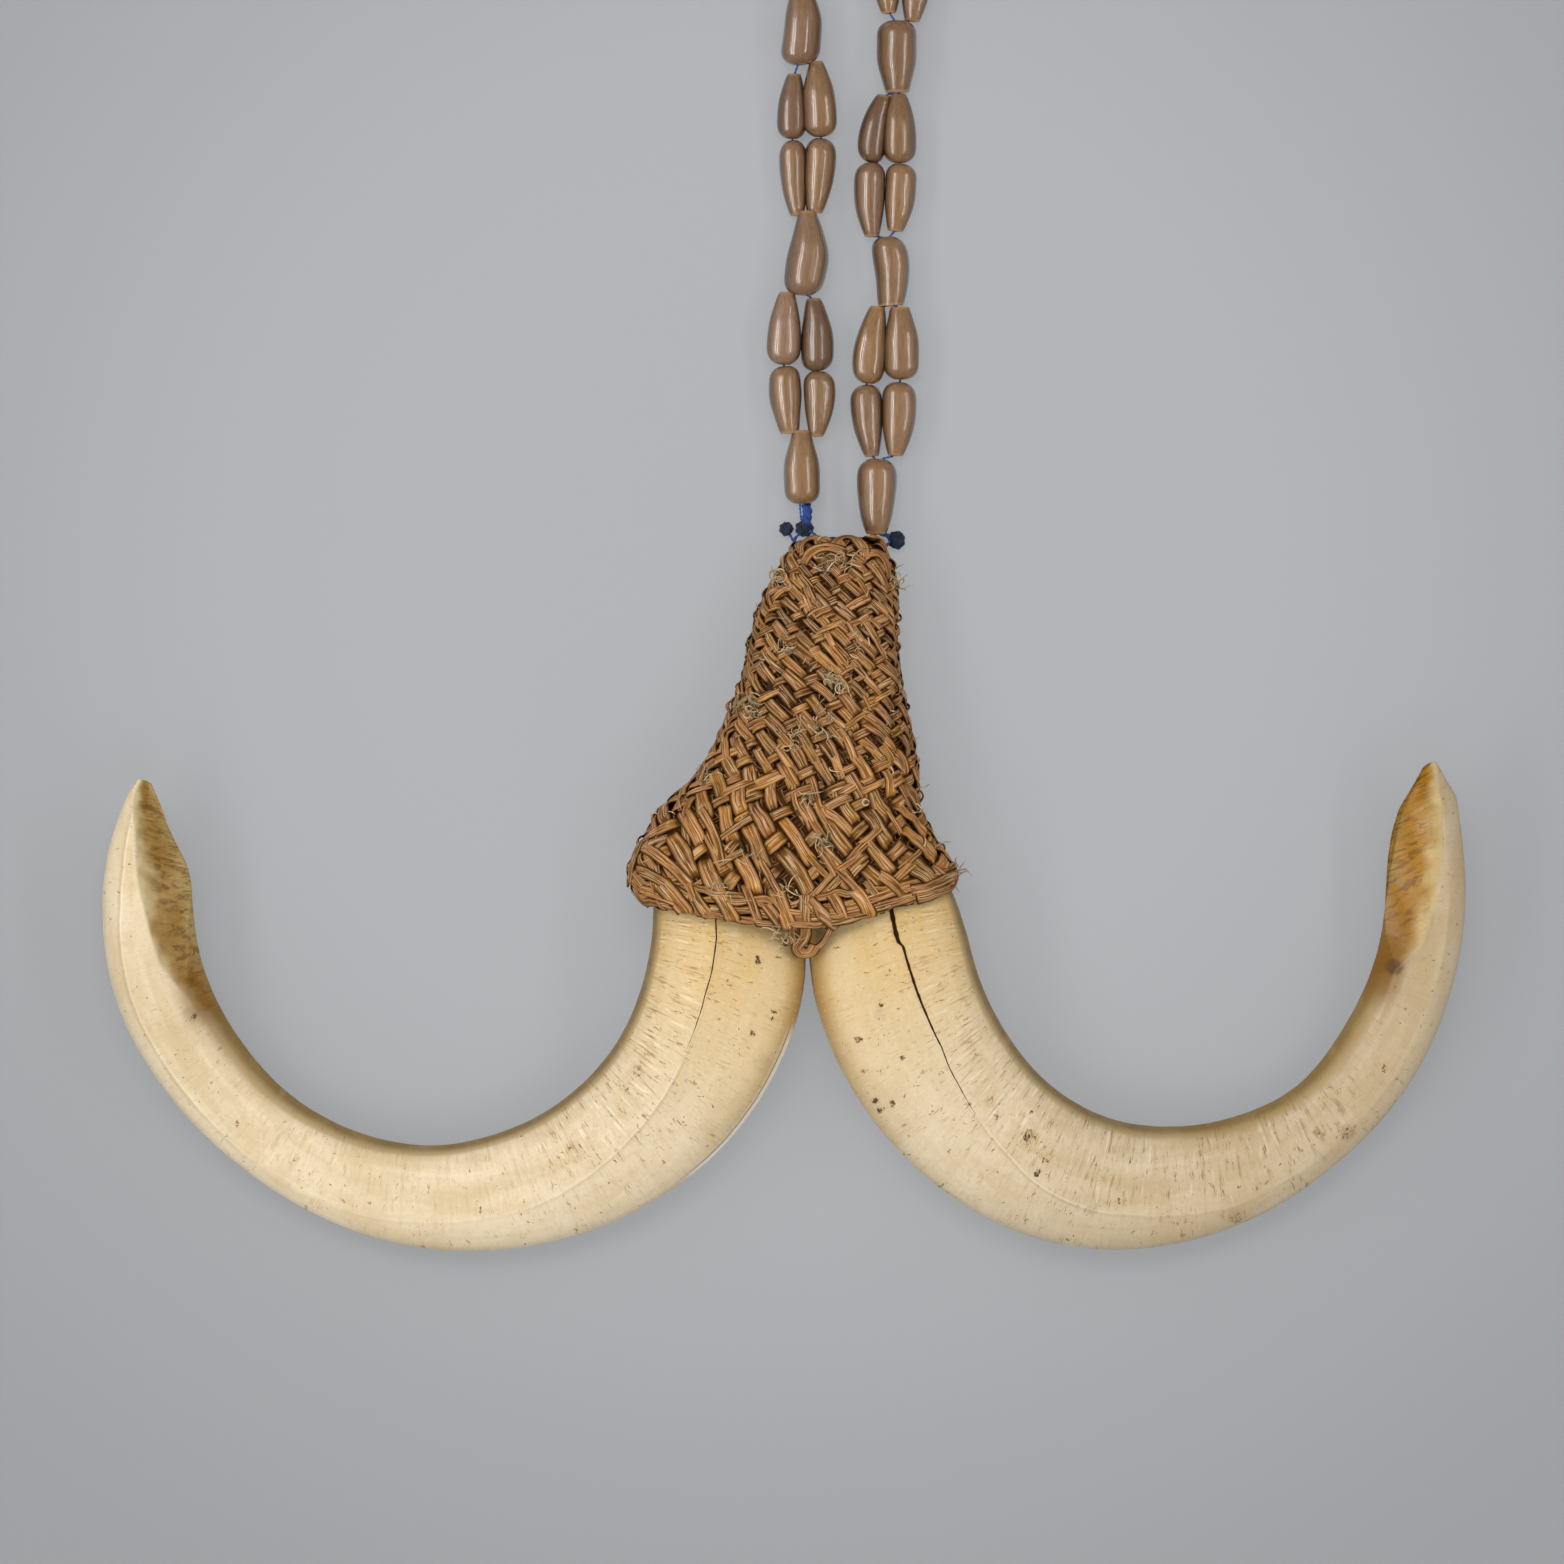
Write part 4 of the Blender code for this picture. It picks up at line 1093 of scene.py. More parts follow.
# Sleeve: its surface is read by the share of the way round, from the middle of the back over
# the left edge, the front (0.5) and the right edge, and by the level above the mouth.

LEVELS = np.linspace(0.0, SLEEVE_TOP, 230)
AROUND = 240


def sleeve_grid():
    """Points, outward normals and perimeters of the sleeve's surface."""
    turns = -math.pi / 2 - np.linspace(0.0, math.tau, 1441)
    across = np.sign(np.cos(turns)) * np.abs(np.cos(turns))**(2 / SLEEVE_POWER)
    up = np.sign(np.sin(turns)) * np.abs(np.sin(turns))**(2 / SLEEVE_POWER)
    rows, perimeters = [], []
    for level in LEVELS:
        left, right, thick = smooth_row(SLEEVE, level)
        half, middle = (right - left) / 2, (right + left) / 2
        depth = (thick + BACK_FLAT) / 2
        x = middle + half * across
        z = np.maximum(0.0, thick - depth + depth * up)
        share = np.clip(0.5 + up, 0.0, 1.0)
        rim = straight(RIM_BACK, x) * (1 - share) + straight(RIM_FRONT, x) * share
        y = level + rim * max(0.0, 1 - level / MOUTH_FROM)
        ring = np.stack((x, y, z), axis=1)
        lengths = arc_lengths(ring)
        places = np.linspace(0.0, lengths[-1], AROUND + 1)
        rows.append(points_at(ring, lengths, places))
        perimeters.append(lengths[-1])
    points = np.array(rows)
    around = np.roll(points[:, :-1], -1, axis=1) - np.roll(points[:, :-1], 1, axis=1)
    around = np.concatenate((around, around[:, :1]), axis=1)
    upward = np.gradient(points, axis=0)
    return points, unit(np.cross(around, upward)), np.array(perimeters)


SURFACE, NORMALS, PERIMETERS = sleeve_grid()


def on_sleeve(share, level):
    """Points and outward normals of the sleeve at shares of the way round and levels."""
    across = (np.asarray(share) % 1.0) * AROUND
    down = np.clip(np.asarray(level) / LEVELS[-1], 0.0, 1.0) * (len(LEVELS) - 1)
    i, j = np.minimum(down.astype(int), len(LEVELS) - 2), across.astype(int) % AROUND
    s, t = (down - i)[:, None], (across - across.astype(int))[:, None]
    found = []
    for grid in (SURFACE, NORMALS):
        low = grid[i, j] * (1 - t) + grid[i, j + 1] * t
        high = grid[i + 1, j] * (1 - t) + grid[i + 1, j + 1] * t
        found.append(low * (1 - s) + high * s)
    return found[0], unit(found[1])


def sleeve_tree():
    across = AROUND + 1
    corners = [row * across + column for row in range(len(LEVELS) - 1) for column in range(AROUND)]
    faces = [(a, a + 1, a + across + 1, a + across) for a in corners]
    return BVHTree.FromPolygons(SURFACE.reshape(-1, 3).tolist(), faces)


SLEEVE_TREE = sleeve_tree()


def drape(places):
    """Points and normals of the sleeve's front below places given as x, y."""
    points, normals = [], []
    for x, y in places:
        hit, normal, _, _ = SLEEVE_TREE.ray_cast(Vector((x, y, 60.0)), Vector((0.0, 0.0, -1.0)))
        if hit is None:
            hit, normal, _, _ = SLEEVE_TREE.find_nearest(Vector((x, y, 11.0)))
            hit = Vector((x, y, hit.z))
            normal = Vector((normal.x, normal.y, 0.4)).normalized()
        points.append(tuple(hit))
        normals.append(tuple(normal if normal.z > 0 else -normal))
    return np.array(points), np.array(normals)


# The plait: steep strips lean down to the right and dive under every third crossing, and flat
# strips lean down to the left. Each family has as many strips all the way.
STEEP_COUNT, FLAT_COUNT = 27, 18
STEEP_SLANT = ((0.0, 0.92), (20.0, 0.86), (45.0, 0.98), (SLEEVE_TOP, 1.05))
FLAT_SLANT = ((0.0, 1.90), (20.0, 1.95), (SLEEVE_TOP, 1.80))
STEEP_FILL = ((0.0, 0.88), (20.0, 0.88), (45.0, 0.92), (SLEEVE_TOP, 0.94))
FLAT_FILL = ((0.0, 0.80), (20.0, 0.80), (SLEEVE_TOP, 0.84))
# The front has wider spacing than the back at the neck, and closer spacing at the mouth.
FRONT_CROWD = ((0.0, 0.20), (22.0, 0.0), (38.0, -0.24), (SLEEVE_TOP, -0.34))
# The left front's strips keep their slant although the edge flares out.
LEFT_PULL = ((0.0, 0.062), (22.0, 0.0), (SLEEVE_TOP, 0.0))
PLAIT_TOP, PLAIT_FOOT = 56.6, 0.25
PLAIT_INSET = 0.62
PLAIT_LIFT = 0.40
STRIP_THICK = 0.46
STRIP_STEP = 0.45
LOWEST = 0.02


def slant_sums(table):
    """How far round a strip has gone at each level, counted down from the neck."""
    rate = straight(table, LEVELS) / PERIMETERS
    steps = (rate[1:] + rate[:-1]) / 2 * np.diff(LEVELS)
    return np.concatenate((np.cumsum(steps[::-1])[::-1], [0.0]))


STEEP_ROUND, FLAT_ROUND = slant_sums(STEEP_SLANT), slant_sums(FLAT_SLANT)


def crowded(share, level):
    """Shares of the way round, shifted as the strips crowd and wander."""
    turn = share * math.tau
    crowd = straight(FRONT_CROWD, level) * np.sin(turn) / math.tau
    pull = straight(LEFT_PULL, level) * np.clip(np.sin(turn), 0.0, None)**2
    warp = 0.0050 * np.sin(2 * turn + level / 5.3) + 0.0022 * np.sin(5 * turn - level / 4.1)
    return share + crowd + pull + warp


def strip_section(dice, points=9):
    """A flat strip with a few ridges along its face, as (side, up) pairs."""
    across = np.linspace(-1.0, 1.0, points)
    ridges = 0.12 * np.cos(across * dice.uniform(4.0, 8.0) + dice.uniform(0.0, 6.0))
    face = (1 - np.abs(across)**5) * 0.8 + ridges * (1 - across**2) + 0.12
    top = np.stack((across, face), axis=1)
    bottom = np.array(((0.92, -0.55), (0.0, -0.8), (-0.92, -0.55)))
    return np.concatenate((top, bottom)), np.concatenate((np.abs(across), (1.0, 1.0, 1.0)))


def lay_strip(bundle, path, normals, wide, thick, dice, tone, sunk=0.0, roll=0.2, points=9):
    """A strip of cane along a path, with its own grain, tone and slight twist."""
    length = arc_lengths(path)
    section, edge = strip_section(dice, points)
    wide = wide / 2 * (1 + 0.10 * ripple(length, 14.0, dice, 3))
    rings = sweep(path, section, wide, thick / 2, normals, roll=roll * ripple(length, 8.0, dice))
    rings[:, :, 2] = np.maximum(rings[:, :, 2], LOWEST)
    lay = lay_along(path, len(section), section[:, 0] * np.mean(wide) + dice.uniform(0.0, 90.0))
    shade = np.clip(tone + 0.3 * ripple(length, 12.0, dice), 0.0, 1.0)
    bundle.add(rings, lay=lay, tone=shade[:, None], sunk=np.broadcast_to(sunk, len(path))[:, None],
               edge=edge[None, :])


def crossing_lift(phase):
    """-1 where the phase is near a multiple of 3, and about 1 elsewhere, bowed out between."""
    near = np.abs((phase + 1.5) % 3.0 - 1.5)
    return 2 * rise(near, 0.26, 0.68) - 1 + 0.45 * rise(near, 0.75, 1.5)


RIM_LEVEL = 3.4
FOLD_STEPS = 5


def fold_ends(path, normals):
    """Carry a strip on past the neck, and inwards round the mouth's rim."""
    over = np.linspace(0.0, 1.0, FOLD_STEPS + 1)[1:, None]
    top, up = path[0], normals[0]
    middle = np.array((9.2, 56.6, 3.9))
    hump = np.array((0.0, 0.5, 0.0)) * np.sin(over * 2.6) * (0.4 + 0.6 * math.sin(top[0] * 2.1))
    inward = top + (middle - top) * over * 0.75 + hump
    lean = unit(up * (1 - over) + np.array((0.0, 1.0, 0.3)) * over)
    path = np.concatenate((inward[::-1], path))
    normals = np.concatenate((lean[::-1], normals))
    bottom, up = path[-1], normals[-1]
    under = bottom - up * over * 1.6 + np.array((0.0, -0.35, 0.0)) * np.sin(over * math.pi)
    lean = unit(up * (1 - over) - np.array((0.0, 1.0, 0.0)) * over)
    return np.concatenate((path, under)), np.concatenate((normals, lean))


def make_plait(finish):
    dice = random.Random(11)
    families = ((STEEP_ROUND, STEEP_COUNT, STEEP_SLANT, STEEP_FILL),
                (-FLAT_ROUND, FLAT_COUNT, FLAT_SLANT, FLAT_FILL))
    for family, crossed in (families, families[::-1]):
        own, count, slant, fill = family
        other, other_count = crossed[:2]
        steep = slant is STEEP_SLANT
        steps = int(SLEEVE_TOP * math.hypot(1.0, slant[1][1]) / STRIP_STEP)
        level = np.linspace(PLAIT_TOP, PLAIT_FOOT, steps)
        perimeter = np.interp(level, LEVELS, PERIMETERS)
        in_rim = 1 - rise(level, RIM_LEVEL - 0.6, RIM_LEVEL + 1.0)
        bundle = Bundle()
        for strip in range(count):
            share = strip / count + np.interp(level, LEVELS, own)
            phase = other_count * (share - np.interp(level, LEVELS, other))
            lift = crossing_lift(strip + phase)
            if not steep:
                lift = -lift
            over_rim = 2.4 if steep and strip % 3 == 0 else -1.5
            lift = lift * (1 - in_rim) + over_rim * in_rim
            spacing = perimeter / count / np.hypot(1.0, straight(slant, level))
            spacing = spacing * (1 + straight(FRONT_CROWD, level) * np.cos(share * math.tau))
            stray = (0.24 * ripple(level, 26.0, dice, 2) + 0.07 * ripple(level, 9.0, dice, 2)) / count
            points, normals = on_sleeve(crowded(share + stray, level), level)
            out = -PLAIT_INSET + PLAIT_LIFT * lift + 0.22 * ripple(level, 9.0, dice)
            path = points + normals * out[:, None]
            width = spacing * straight(fill, level) * dice.uniform(0.74, 1.12)
            width = width * (1 + 0.14 * ripple(level, 8.0, dice, 2))
            path, normals = fold_ends(path, normals)
            lift, width, levels = (np.pad(row, FOLD_STEPS, mode="edge") for row in (lift, width, level))
            tone = dice.uniform(0.05, 0.65) + 0.45 * np.clip(1 - levels / 30, 0.0, 1.0)
            sunk = np.clip((1 - lift) / 2, 0.0, 1.0)
            lay_strip(bundle, path, normals, width, STRIP_THICK, dice, tone, sunk, 0.2)
        piece = bundle.make("sleeve_steep_strips" if steep else "sleeve_flat_strips", finish)
        if steep:
            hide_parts("sleeve")


PACKING_DEPTH = 1.05


def make_packing(finish):
    """Thin strips below the plait, which fill its gaps, darker than the cane on top: painted shade."""
    dice = random.Random(12)
    bundle = Bundle()
    steep, flat = (STEEP_ROUND, STEEP_COUNT, 0.8, 0.5), (-FLAT_ROUND, FLAT_COUNT * 2, 1.9, 0.25)
    for own, count, slant, lean in (steep, flat):
        level = np.linspace(56.0, 1.5, 90)
        for strip in range(count):
            share = (strip + lean) / count + np.interp(level, LEVELS, own)
            share = share + 0.2 * ripple(level, 9.0, dice) / count
            points, normals = on_sleeve(crowded(share, level), level)
            path = points - normals * (PACKING_DEPTH + 0.14 * ripple(level, 6.0, dice))[:, None]
            width = np.interp(level, LEVELS, PERIMETERS) / count / math.hypot(1.0, slant) * 0.6
            lay_strip(bundle, path, normals, width, 0.4, dice, dice.uniform(0.1, 0.6), 0.25, 0.4, 5)
    bundle.make("sleeve_packing_strips", finish)


CORE_INSET = 1.5
CORE_SIDES = 96
CORE_LOWEST = 0.3


def make_core(finish):
    """The inside of the plait, a near-black sheet of painted shade, closed at the neck and a little inside
    the mouth.
    """
    shares = np.arange(CORE_SIDES) / CORE_SIDES
    rings = []
    for level in np.linspace(1.6, 56.0, 60):
        points, normals = on_sleeve(shares, np.full(CORE_SIDES, level))
        ring = points - normals * CORE_INSET
        ring[:, 2] = np.maximum(ring[:, 2], CORE_LOWEST)
        rings.append(ring)
    bundle = Bundle()
    bundle.add(np.array(rings))
    bundle.make("sleeve_core", finish)


# The rim: level, width and wander of each strand that runs round the mouth.
RIM_STRANDS = ((0.35, 1.3, 0.25), (1.25, 1.4, 0.35), (2.15, 1.2, 0.4), (3.05, 1.3, 0.5))
RIM_OUT = -0.12
WRAPS = 13


def make_rim(finish):
    """Strands round the mouth, and short strips wrapped over them."""
    dice = random.Random(13)
    bundle = Bundle()
    share = np.linspace(0.01, 1.015, 330)
    for level, width, wander in RIM_STRANDS:
        lane = level + wander * ripple(share, 0.16, dice)
        points, normals = on_sleeve(share, lane)
        out = RIM_OUT + 0.22 * ripple(share, 0.09, dice)
        path = points + normals * out[:, None]
        lay_strip(bundle, path, normals, width, 0.85, dice, dice.uniform(0.4, 0.8), 0.0, 0.4)
    for wrap in range(WRAPS):
        start = (wrap + dice.uniform(-0.25, 0.25)) / WRAPS
        t = np.linspace(0.0, 1.0, 16)
        lane = 4.4 - 4.6 * t
        points, normals = on_sleeve(start + 0.020 * t, np.maximum(lane, 0.15))
        out = RIM_OUT + 0.75 * np.sin(t * math.pi)**0.6 - 0.35 + np.minimum((lane - 0.3) * 1.2, 0.0)
        path = points + normals * out[:, None]
        width = dice.uniform(1.2, 1.9)
        lay_strip(bundle, path, normals, width, 0.45, dice, dice.uniform(0.3, 0.8), 0.0, 0.3)
    bundle.make("sleeve_rim_strands", finish)


# Strips laid over the plait where the photo shows them: width, lift at the ends and in the
# middle, tone, then places as x, y.
LAID_STRIPS = (
    (1.9, -0.2, 0.35, 0.55, ((-23.2, 7.9), (-20.6, 6.6), (-17.6, 4.2), (-15.0, 1.6))),
    (1.8, -0.2, 0.35, 0.45, ((-23.7, 4.0), (-21.0, 3.0), (-17.6, 1.0), (-14.4, -1.0))),
    (1.7, -0.2, 0.30, 0.60, ((-23.4, 1.0), (-20.6, 0.2), (-17.4, -1.0), (-14.0, -2.4))),
    (1.6, -0.1, 0.30, 0.40, ((-20.2, 10.3), (-22.6, 8.0), (-24.1, 4.0), (-23.9, 0.6), (-21.4, -1.5))),
    (1.6, -0.3, 0.30, 0.50, ((-13.5, 13.8), (-11.8, 11.0), (-10.6, 8.0), (-9.9, 4.8))),
    (1.9, -0.3, 0.35, 0.65, ((6.8, -2.0), (10.5, -1.6), (15.0, -0.2), (19.5, 1.4), (23.2, 2.2))),
    (1.7, -0.3, 0.30, 0.45, ((7.4, -3.6), (12.0, -2.6), (17.0, -1.2), (22.0, 0.4), (25.4, 1.4))),
    (2.0, -0.5, 0.45, 0.55, ((6.9, 0.6), (8.0, -0.8), (9.0, -2.6), (9.6, -4.2))),
    (2.0, -0.5, 0.45, 0.60, ((15.0, 3.4), (17.0, 1.8), (18.8, 0.0), (19.6, -0.9))),
    (2.0, -0.5, 0.45, 0.60, ((-14.6, 0.6), (-13.4, -1.2), (-11.9, -3.4))),
    (2.0, -0.5, 0.45, 0.50, ((-3.2, -1.3), (-1.8, -2.9), (-0.6, -4.7))),
)
NECK_LOOPS = (
    (1.9, ((2.4, 54.8), (2.9, 56.0), (4.6, 56.9), (7.2, 56.6))),
    (2.0, ((7.8, 55.6), (8.8, 56.8), (10.8, 56.9), (12.6, 55.4), (12.9, 54.0))),
    (1.8, ((3.0, 53.0), (4.2, 54.6), (6.6, 55.4), (9.6, 54.8))),
    (1.8, ((12.6, 56.8), (14.2, 57.2), (15.8, 56.0), (16.6, 54.2))),
    (1.6, ((13.2, 54.6), (14.8, 54.4), (16.2, 52.8), (16.8, 50.8))),
    (1.7, ((1.6, 55.4), (1.0, 53.8), (1.7, 52.0))),
)


BROKEN_STRIPS, EDGE_LOOPS, STRAY_FIBRES = 280, 46, 240


def laid(bundle, places, width, ends, middle, dice, tone):
    flat = even_path([(x, y, 0.0) for x, y in places], 0.45)
    points, normals = drape(flat[:, :2])
    normals = unit(normals + np.roll(normals, 1, axis=0) + np.roll(normals, -1, axis=0))
    t = np.linspace(0.0, 1.0, len(points))
    lift = ends + (middle - ends) * np.sin(t * math.pi)**0.5
    lay_strip(bundle, points + normals * lift[:, None], normals, width, 0.42, dice, tone, 0.0, 0.25)


def make_laid_strips(finish):
    dice = random.Random(14)
    bundle = Bundle()
    for width, ends, middle, tone, places in LAID_STRIPS:
        laid(bundle, places, width, ends, middle, dice, tone)
    for width, places in NECK_LOOPS:
        laid(bundle, places, width, -0.5, 0.15, dice, dice.uniform(0.35, 0.7))
    # Broken strips and loops all over the sleeve.
    for _ in range(BROKEN_STRIPS):
        level = dice.uniform(4.0, 54.0)
        share, steep = dice.random(), dice.random() < 0.3 + 0.4 * level / 57
        cot = straight(STEEP_SLANT, level) if steep else -straight(FLAT_SLANT, level)
        cot += dice.uniform(-0.4, 0.4)
        reach = dice.uniform(3.0, 8.0) * (1.2 - 0.5 * level / 57)
        t = np.linspace(-0.5, 0.5, 14)
        drop = reach / math.hypot(1.0, cot)
        lane = level - drop * t + 0.15 * ripple(t, 1.2, dice, 1)
        shares = share + drop * cot * t / np.interp(level, LEVELS, PERIMETERS)
        points, normals = on_sleeve(shares, lane)
        out = -0.6 + (0.45 + dice.uniform(0.0, 0.35)) * np.cos(t * math.pi)**0.7
        lay_strip(bundle, points + normals * out[:, None], normals, dice.uniform(0.8, 2.0), 0.36, dice,
                  dice.uniform(0.2, 1.0), 0.0, 0.3, 7)
    # Small loops that stand out of both edges.
    for _ in range(EDGE_LOOPS):
        share = dice.choice((0.27, 0.73)) + dice.uniform(-0.05, 0.05)
        level = dice.uniform(6.0, 55.0)
        t = np.linspace(-0.5, 0.5, 12)
        reach = dice.uniform(1.6, 3.0)
        shares = share + 0.012 * t * dice.choice((-1, 1))
        points, normals = on_sleeve(shares, level - reach * t)
        out = -0.6 + dice.uniform(0.7, 1.25) * np.cos(t * math.pi)
        lay_strip(bundle, points + normals * out[:, None], normals, dice.uniform(0.5, 1.1), 0.34, dice,
                  dice.uniform(0.2, 0.7), 0.0, 0.5, 7)
    bundle.make("sleeve_laid_strips", finish)


# The knot below the middle of the rim, and the fat loop at its right end: width and thickness,
# then places as x, y, z.
RIM_KNOTS = (
    (2.1, 0.8, ((3.2, 0.0, 22.2), (3.2, -2.6, 22.3), (3.4, -5.0, 21.6), (3.1, -6.9, 19.9),
                (2.0, -8.2, 18.5), (2.5, -9.2, 17.7), (4.1, -9.1, 17.9), (4.8, -8.0, 18.7))),
    (1.3, 0.6, ((1.6, -3.8, 21.8), (1.2, -6.0, 20.4), (1.7, -7.9, 18.4), (3.2, -8.8, 17.9))),
    (1.0, 0.6, ((4.2, -8.9, 18.2), (5.7, -7.9, 18.7), (6.9, -6.2, 20.0), (7.7, -4.4, 21.2))),
    (2.2, 0.6, ((3.9, -0.8, 22.6), (5.2, -2.2, 22.5), (6.9, -3.8, 22.2), (8.5, -5.0, 21.0))),
    (1.9, 1.1, ((20.0, 0.8, 20.2), (22.8, 1.3, 19.2), (25.6, 2.5, 16.8), (27.1, 3.0, 13.2),
                (26.6, 1.6, 14.6), (24.0, 0.3, 18.2), (21.0, -0.6, 20.0))),
)


def make_rim_knots(finish):
    dice = random.Random(15)
    bundle = Bundle()
    for width, thick, places in RIM_KNOTS:
        path = even_path(places, 0.4)
        middle = np.array((5.0, 0.0, 9.0))
        normals = unit(path - middle + np.array((0.0, 0.0, 6.0)))
        lay_strip(bundle, path, normals, width, thick, dice, dice.uniform(0.35, 0.6), 0.0, 0.3)
    bundle.make("sleeve_rim_knots", finish)


# Frayed fibres: middle x, y, how far they spread to each side, how many and how curly.
TUFTS = (
    (8.0, 52.8, 3.4, 1.6, 26, 1.0), (-0.6, 50.8, 0.8, 1.0, 22, 1.6), (17.6, 50.0, 0.6, 1.0, 14, 1.6),
    (0.4, 39.8, 1.2, 1.5, 16, 2.2), (-5.6, 29.6, 1.6, 1.6, 30, 2.0), (1.6, 24.5, 1.0, 1.5, 18, 1.6),
    (6.0, 27.2, 1.2, 2.4, 26, 1.6), (7.2, 34.4, 1.4, 0.9, 22, 2.0), (-12.4, 18.6, 1.2, 0.9, 14, 1.0),
    (3.5, 15.8, 1.0, 0.9, 8, 1.0),
    (5.7, 8.2, 1.3, 0.9, 14, 0.9), (21.0, 13.4, 0.8, 0.8, 5, 1.6), (-10.0, 1.4, 1.3, 0.8, 16, 0.8),
    (-6.3, 5.9, 2.0, 0.9, 9, 0.25), (0.6, 0.4, 1.2, 1.0, 10, 0.5), (12.0, 40.0, 2.0, 2.0, 8, 1.2),
    (9.4, 33.2, 1.8, 1.2, 10, 1.6), (-0.4, -6.6, 2.2, 1.2, 18, 0.9), (27.2, 3.4, 0.7, 0.9, 6, 0.9),
)
FIBRE_STEPS = 12
FIBRE_LOWEST = 0.15
RINGLETS = ((8.9, 32.8, 0.8), (12.9, 14.7, 0.5))


def make_fibres(finish):
    dice = random.Random(16)
    bundle = Bundle()

    def fibre(start, normal, length, curl):
        flat = Vector((dice.uniform(-1, 1), dice.uniform(-1, 1), 0.0))
        heading = (flat + Vector(normal) * dice.uniform(0.1, 0.8)).normalized()
        axis = Vector((dice.gauss(0, 1), dice.gauss(0, 1), dice.gauss(0, 1))).normalized()
        place, path = Vector(start), []
        for _ in range(FIBRE_STEPS):
            path.append(tuple(place))
            place = place + heading * length / FIBRE_STEPS
            place.z = max(place.z, FIBRE_LOWEST)
            heading.rotate(Quaternion(axis, curl * dice.uniform(0.3, 1.0) * 4.5 / FIBRE_STEPS))
        radius = dice.uniform(0.07, 0.13)
        path = np.array(path)
        thin = radius * (1 - 0.6 * np.linspace(0.0, 1.0, FIBRE_STEPS)**2)
        rings = sweep(path, round_section(5), thin, thin)
        bundle.add(rings, tone=dice.uniform(0.2, 1.0), lay=lay_along(path, 5, dice.uniform(0.0, 50.0)),
                   sunk=0.0, edge=0.0)

    for x, y, spread_x, spread_y, count, curl in TUFTS:
        places = [(x + dice.uniform(-1, 1) * spread_x, y + dice.uniform(-1, 1) * spread_y)
                  for _ in range(count)]
        points, normals = drape(places)
        for point, normal in zip(points, normals):
            fibre(point + normal * 0.15, normal, dice.uniform(1.6, 3.8), curl)
    for _ in range(STRAY_FIBRES):
        points, normals = on_sleeve(np.array([dice.random()]), np.array([dice.uniform(1.0, 56.5)]))
        fibre(points[0] - normals[0] * 0.3, normals[0], dice.uniform(1.0, 2.8), dice.uniform(0.2, 1.4))
    turns = np.linspace(0.0, 5.6, 26)
    for x, y, radius in RINGLETS:
        points, normals = drape([(x, y)])
        ring = np.stack((x + radius * np.cos(turns), y + radius * np.sin(turns),
                         points[0][2] + 0.35 + 0.06 * turns), axis=1)
        bundle.add(sweep(ring, round_section(6), 0.12, 0.12), tone=0.9, lay=lay_along(ring, 6, 3.0),
                   sunk=0.0, edge=0.0)
    bundle.make("sleeve_frayed_fibres", finish)


# Seeds

SEED_AROUND, SEED_ALONG = 32, 48
# A seed's outline at shares of its length. The first table is how far it has grown from the
# narrow end's width to its full width, the second what is left of that towards the wide end.
SEED_GROWTH = ((0.0, 0.0), (0.04, 0.14), (0.12, 0.34), (0.27, 0.64), (0.42, 0.87), (0.58, 0.985),
               (0.70, 1.0), (0.79, 0.995))
SEED_CLOSING = ((0.79, 0.995), (0.86, 0.955), (0.92, 0.85), (0.96, 0.70), (0.985, 0.54), (1.0, 0.38))


def seed_radius(share, width, tip_width):
    if share <= SEED_CLOSING[0][0]:
        return (tip_width + (width - tip_width) * smooth_row(SEED_GROWTH, share)[0]) / 2
    return width / 2 * smooth_row(SEED_CLOSING, share)[0]


